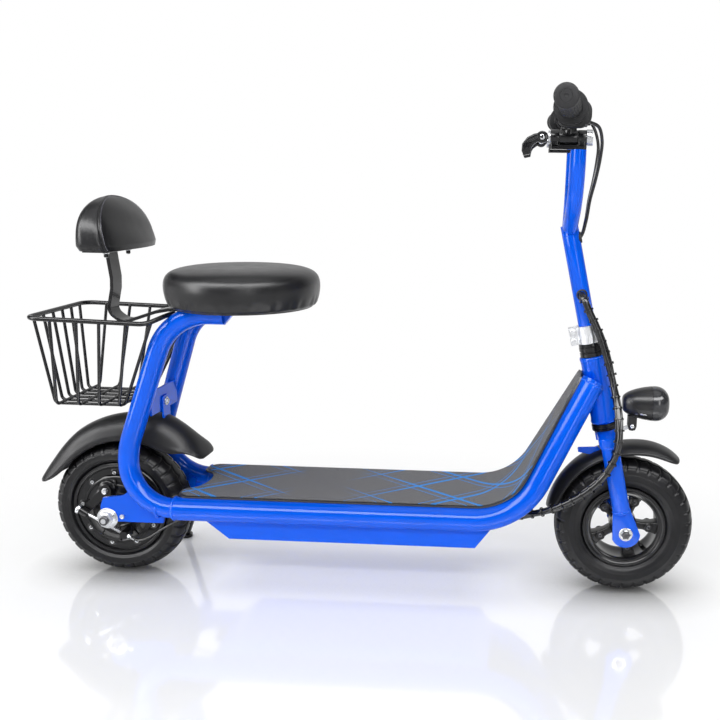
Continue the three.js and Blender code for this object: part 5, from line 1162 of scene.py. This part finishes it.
def lamp_ring(x, share):
    ring = circle(1, 96)
    ring = np.sign(ring) * np.abs(ring) ** LAMP_SQUARE * share * (LAMP_HALF, LAMP_HIGH) + (0, LAMP_Z)
    return np.insert(ring, 0, x, axis=1)


def lamp_shell(x0, x1, shares, seam=None):
    rings = []
    for dx, r in smooth_line([((x1 - x0) * t, s * LAMP_HALF) for t, s in shares], 0.9):
        ring = lamp_ring(x0 + dx, r / LAMP_HALF)
        if seam:
            at, lean = seam
            line = at + lean * (ring[:, 2] - LAMP_Z)
            k = 1 - 0.03 * np.exp(-((ring[:, 0] - line) / 0.55) ** 2)
            ring[:, 1] *= k
            ring[:, 2] = LAMP_Z + (ring[:, 2] - LAMP_Z) * k
        rings.append(ring)
    low, high = rings[0], rings[-1]
    rear = low.mean(0) + (low - low.mean(0)) * (1, 0.9, 0.9)
    return loft([rear] + rings + [high.mean(0) + (high - high.mean(0)) * (1, 0.8, 0.8) + (0.25, 0, 0)])


def lamp_slit():
    """A bright slit on the right of the lamp, which follows its curve."""
    slit, rings = circle(1, 28) * (11.5, 2.1), []
    for out, k in ((-1.5, 1), (0.3, 1), (0.75, 0.9), (0.85, 0.6)):
        x, z = (slit * k + (SLIT_X, SLIT_Z)).T
        share = np.interp((x - HOUSING_REAR) / (HOUSING_FRONT - HOUSING_REAR), *zip(*HOUSING_SHARES))
        s = np.abs((z - LAMP_Z) / (LAMP_HIGH * share)) ** (1 / LAMP_SQUARE)
        y = LAMP_HALF * share * np.maximum(0.0, 1 - s * s) ** (LAMP_SQUARE / 2)
        rings.append(np.stack([x, 0.6 - out - y, z], 1))
    return loft(rings)


def build_headlight():
    half = [plate(LAMP_EAR, -3.5, -7.5), (lamp_slit(), 1), (bolt_head(beside(954, 7.4, 313), 8, 2.6), 1)]
    parts = [lamp_shell(HOUSING_REAR, HOUSING_FRONT, HOUSING_SHARES, (955, -0.85))] + both(half)
    parts.append((loft([lamp_ring(984.6, 0.94), lamp_ring(987.4, 0.94)]), 2))
    add("headlight_housing", parts, "headlight", [LAMP, STEEL, GRIP], 45)
    lens = lamp_shell(LENS_REAR, LENS_FRONT, LENS_SHARES)
    add("headlight_lens", [lens], "headlight", [LENS], 60)


# Deck
DECK_REAR, DECK_HALF, NOTCH_HALF, NOTCH_DEEP = 137.0, 94.0, 48.0, 31.0
SLOPE_FOOT_X, SLOPE_TOP_HALF = 752.0, 27.0
DECK_CORNER, DECK_LIP, DECK_COLS, FINE_ROWS = 22.0, 7, 9, 40


def deck_run(distance):
    """The run's middle line moved square to itself, as x, z points from the rear edge on."""
    path = RUN_PATH[:, [0, 2]]
    t = unit(np.gradient(path, axis=0))
    lifted = path + np.stack([-t[:, 1], t[:, 0]], 1) * distance
    lifted[0, 0] = DECK_REAR
    end = distances(lifted)[-1]
    at = [np.arange(0, 34, 1.0), np.arange(36, end - 34, 11.0), np.arange(end - 30, end, 1.5)]
    return resampled(lifted, np.concatenate(at))


def deck_edges(x, top_x, inset):
    """Inner and outer y of one half of the deck: the notch over the wheel, and the slope's narrowing."""
    d, slope = x - DECK_REAR - inset, (x - SLOPE_FOOT_X) / (top_x - SLOPE_FOOT_X)
    outer = DECK_HALF - inset if slope < 0 else (DECK_HALF - inset) * (1 - slope) + SLOPE_TOP_HALF * slope
    if d < DECK_CORNER:
        outer -= DECK_CORNER - math.sqrt(max(0.0, DECK_CORNER ** 2 - (DECK_CORNER - max(d, 0)) ** 2))
    if top_x - x < DECK_LIP:
        outer -= 6 * (1 - math.sqrt(max(0.0, 1 - (1 - (top_x - x) / DECK_LIP) ** 2)))
    t = min(1.0, max(0.0, d) / NOTCH_DEEP)
    inner = (NOTCH_HALF + inset) * math.sqrt(max(0.0, 1 - t ** 2.6)) + 9 * max(0.0, 1 - d / 12) ** 2
    return min(inner, outer - 0.5), outer


def deck_sheet(low, thickness, inset):
    """One half of a sheet over the run, open where it meets the other half."""
    below, above = deck_run(low), deck_run(low + thickness)
    rings = []
    for i, (under, over) in enumerate(zip(below, above)):
        y = -np.linspace(*deck_edges(over[0], above[-1][0], inset), DECK_COLS)
        rear = DECK_REAR + inset if i < FINE_ROWS else 0
        rings.append([(max(x, rear), across, z) for (x, z), line in ((under, y), (over, y[::-1]))
                      for across in line])
    v, faces = loft(rings)
    return v, [f for f in faces if v[list(f), 1].any()]


def build_deck():
    bars = [plate([(x, 158.5), (x + 22, 158.5), (x + 22, 178.6), (x, 178.6)], -69.5, 69.5)
            for x in (206, 612)]
    add("deck_plate", both([deck_sheet(21.3, 3, 0)]) + bars, "frame", [DARK], 40)
    add("deck_grip_mat", both([deck_sheet(24.6, 1.2, 4)]), "frame", [MAT], 40)


# Cables
LOOM = [(853.6, -3, 551), (853.6, -19, 550), (858, -29, 543), (867, -32, 524), (883, -34, 492),
        (896, -38, 455), (910, -44, 410), (918, -56, 372), (923, -74, 338), (924, -83, 310),
        (919, -85, 282), (902, -85, 245), (877, -84, 217), (843, -80, 192), (800, -70, 169),
        (770, -60, 158), (735, -54, 150), (700, -50, 147), (668, -47, 145)]
BAR_CABLES = {
    "throttle_cable": ("right_bar", [(840, -114, 838), (840, -108, 838), (849, -99, 837), (865, -88, 831),
                                     (873, -70, 811), (873, -50, 784), (868, -32, 749), (861, -18, 715),
                                     (856, -7.8, 677), (849, -3.8, 652), (838, -3.8, 643)]),
    "brake_cable": ("left_bar", [(862, 119.7, 853), (866, 106, 848), (873, 88, 832), (877, 66, 806),
                                 (874, 48, 778), (868, 31, 745), (861, 17, 713), (856, 7.8, 677),
                                 (849, 3.8, 652), (838, 3.8, 643)])}
ROD_FOOT, ANCHOR, ROD_RUN = np.array((-58.0, -50.0, 128.0)), np.array((18.0, -50.0, 86.0)), unit((76, 0, -42))
REAR_CABLE = [ANCHOR + 6.5 * ROD_RUN, (44, -52, 76), (66, -57, 84), (90, -60, 100), (126, -62, 122),
              (170, -60, 142), (205, -58, 145), (236, -56, 141)]
KNOB = [(0.001, -4), (5.5, -4), (6.6, -3), (6.6, 3), (8.8, 4), (9.4, 5.4), (9.4, 8.6), (8.6, 9.8),
        (0.001, 10)]
LOOM_R, TIE_STEP, SPRING_TURNS, SPRING_STEPS = 5.9, 10, 9, 16


def tie_band(path, index, radius, turn):
    """A cable tie round a path, with its square head and clipped tail."""
    t, n, b = frames(path)
    c, d = path[index], t[index]
    x = n[index] * math.cos(turn) + b[index] * math.sin(turn)
    y = np.cross(d, x)
    band = [[c + (x * math.cos(a) + y * math.sin(a)) * (radius + r) + d * w
             for r, w in ((-0.2, -1.3), (0.8, -1.3), (0.8, 1.3), (-0.2, 1.3))] for a in angles(32)]
    head = [[c + x * (radius + h) + d * p * k + y * q * k for p, q in rounded_rect(4.4, 4.8, 0.8, 2)]
            for h, k in ((0.0, 1), (1.4, 1), (1.8, 0.85))]
    tail = [[c + x * (radius + 0.9 + q) + y * s + d * p for p, q in rounded_rect(2.0, 0.7, 0.25, 1)]
            for s in (0, 3.4)]
    return [loft(band, closed=True), loft(head), loft(tail)]


def build_loom():
    path = smooth_path(LOOM, 2.0)
    _, n, b = frames(path)
    swirl = np.arange(len(path)) * TAU / 150
    parts = [tube(path, LOOM_R, 28)]
    for radius, out, phase in ((2.4, 5.3, 0.4), (1.9, 5.9, 2.6)):
        a = (swirl + phase)[:, None]
        parts.append(tube(path + (n * np.cos(a) + b * np.sin(a)) * out, radius, 14))
    for j, i in enumerate(range(14, len(path) - 8, TIE_STEP)):
        parts += tie_band(path, i, 7.7, 0.5 * j + 2.1)
    loom = add("cable_loom", parts, None, [CABLE], 50)
    spot((800, -70, 169))
    spot((912, -46, 395))
    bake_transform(loom)


def build_bar_cables():
    for name, (body, points) in BAR_CABLES.items():
        route = smooth_path(points, 1.6)
        parts = [tube(route, 2.8, 20), tube(route[1:9], 3.6, 20)]
        cable = add(name, parts, None, [CABLE], 50)
        spot(route[int(len(route) * 0.62)])
        spot(route[int(len(route) * 0.08)])
        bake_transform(cable)


def build_rear_cable():
    """The cable to its anchor, then the threaded rod with its sleeve and return spring."""
    start, end = ROD_FOOT + ROD_RUN * 0.3, ANCHOR - ROD_RUN * 6.8
    sleeve = start + (end - start) * 0.14, start + (end - start) * 0.6
    steps = np.arange(SPRING_TURNS * SPRING_STEPS + 1)[:, None]
    a, side = TAU * steps / SPRING_STEPS, np.array((0.0, 1.0, 0.0))
    coil = (sleeve[1] + (end - ROD_RUN * 2 - sleeve[1]) * steps / (SPRING_TURNS * SPRING_STEPS)
            + (side * np.cos(a) + np.cross(ROD_RUN, side) * np.sin(a)) * 3.0)
    metal_parts = [rod(start - ROD_RUN * 6, end, 1.3, 16), rod(*sleeve, 3.0, 24, 0.5), tube(coil, 0.75, 8)]
    for at in ANCHOR + ROD_RUN * (7 + np.arange(9)[:, None] * 1.5):
        metal_parts.append(rod(at, at + ROD_RUN * 0.9, 3.1, 20, 0.25))
    metal_parts.append(hex_nut(along(ANCHOR + ROD_RUN * 6.6, ROD_RUN), 9, 3.6))
    parts = [tube(smooth_path(REAR_CABLE, 1.5), 2.2, 18)] + with_look(metal_parts, 1)
    cable = add("rear_brake_cable", parts, None, [CABLE, ZINC], 45)
    spot(ANCHOR)
    spot(ROD_FOOT)
    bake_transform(cable)
    knob = lathe(KNOB, 60, along(ROD_FOOT - ROD_RUN * 3, -ROD_RUN))
    add("brake_adjuster_knob", [knob], "brake_arm", [ZINC])


for build in (build_tubes, build_head, build_fork, build_stem, build_bars, build_housing, build_fold_levers,
              build_axles, build_crown_tab, build_front_wheel, build_rear_wheel, build_brake_plate,
              build_seat, build_backrest, build_basket, build_fenders, build_headlight, build_deck,
              build_loom, build_bar_cables, build_rear_cable):
    build()

# CAD nodes that keep their shape, with their finish and the width of their eased edges
DRESSED = [(BLUE, 0.8, ("right_dropout", "left_dropout", "fender_gusset", "battery_tray",
                        "seat_mount_plate")),
           (ZINC, 0.4, ("rear_axle", "motor_stator", "right_hinge_pin", "left_hinge_pin")),
           (BLACK, 0.9, ("brake_lever", "backrest_post", "kickstand_leg")),
           (PLASTIC, 0.8, ("brake_lever_mount", "seat_base_board", "battery_pack", "upper_button",
                           "lower_button")),
           (HUB_BLACK, 0.6, ("brake_arm",)), (DARK, 0.6, ("motor_controller",)),
           (ALUMINIUM, 0.8, ("stem_clamp",)), (STEEL, 0.8, ("headlight_bracket",))]
for look, bevel, names in DRESSED:
    for name in names:
        dress(name, look, bevel)
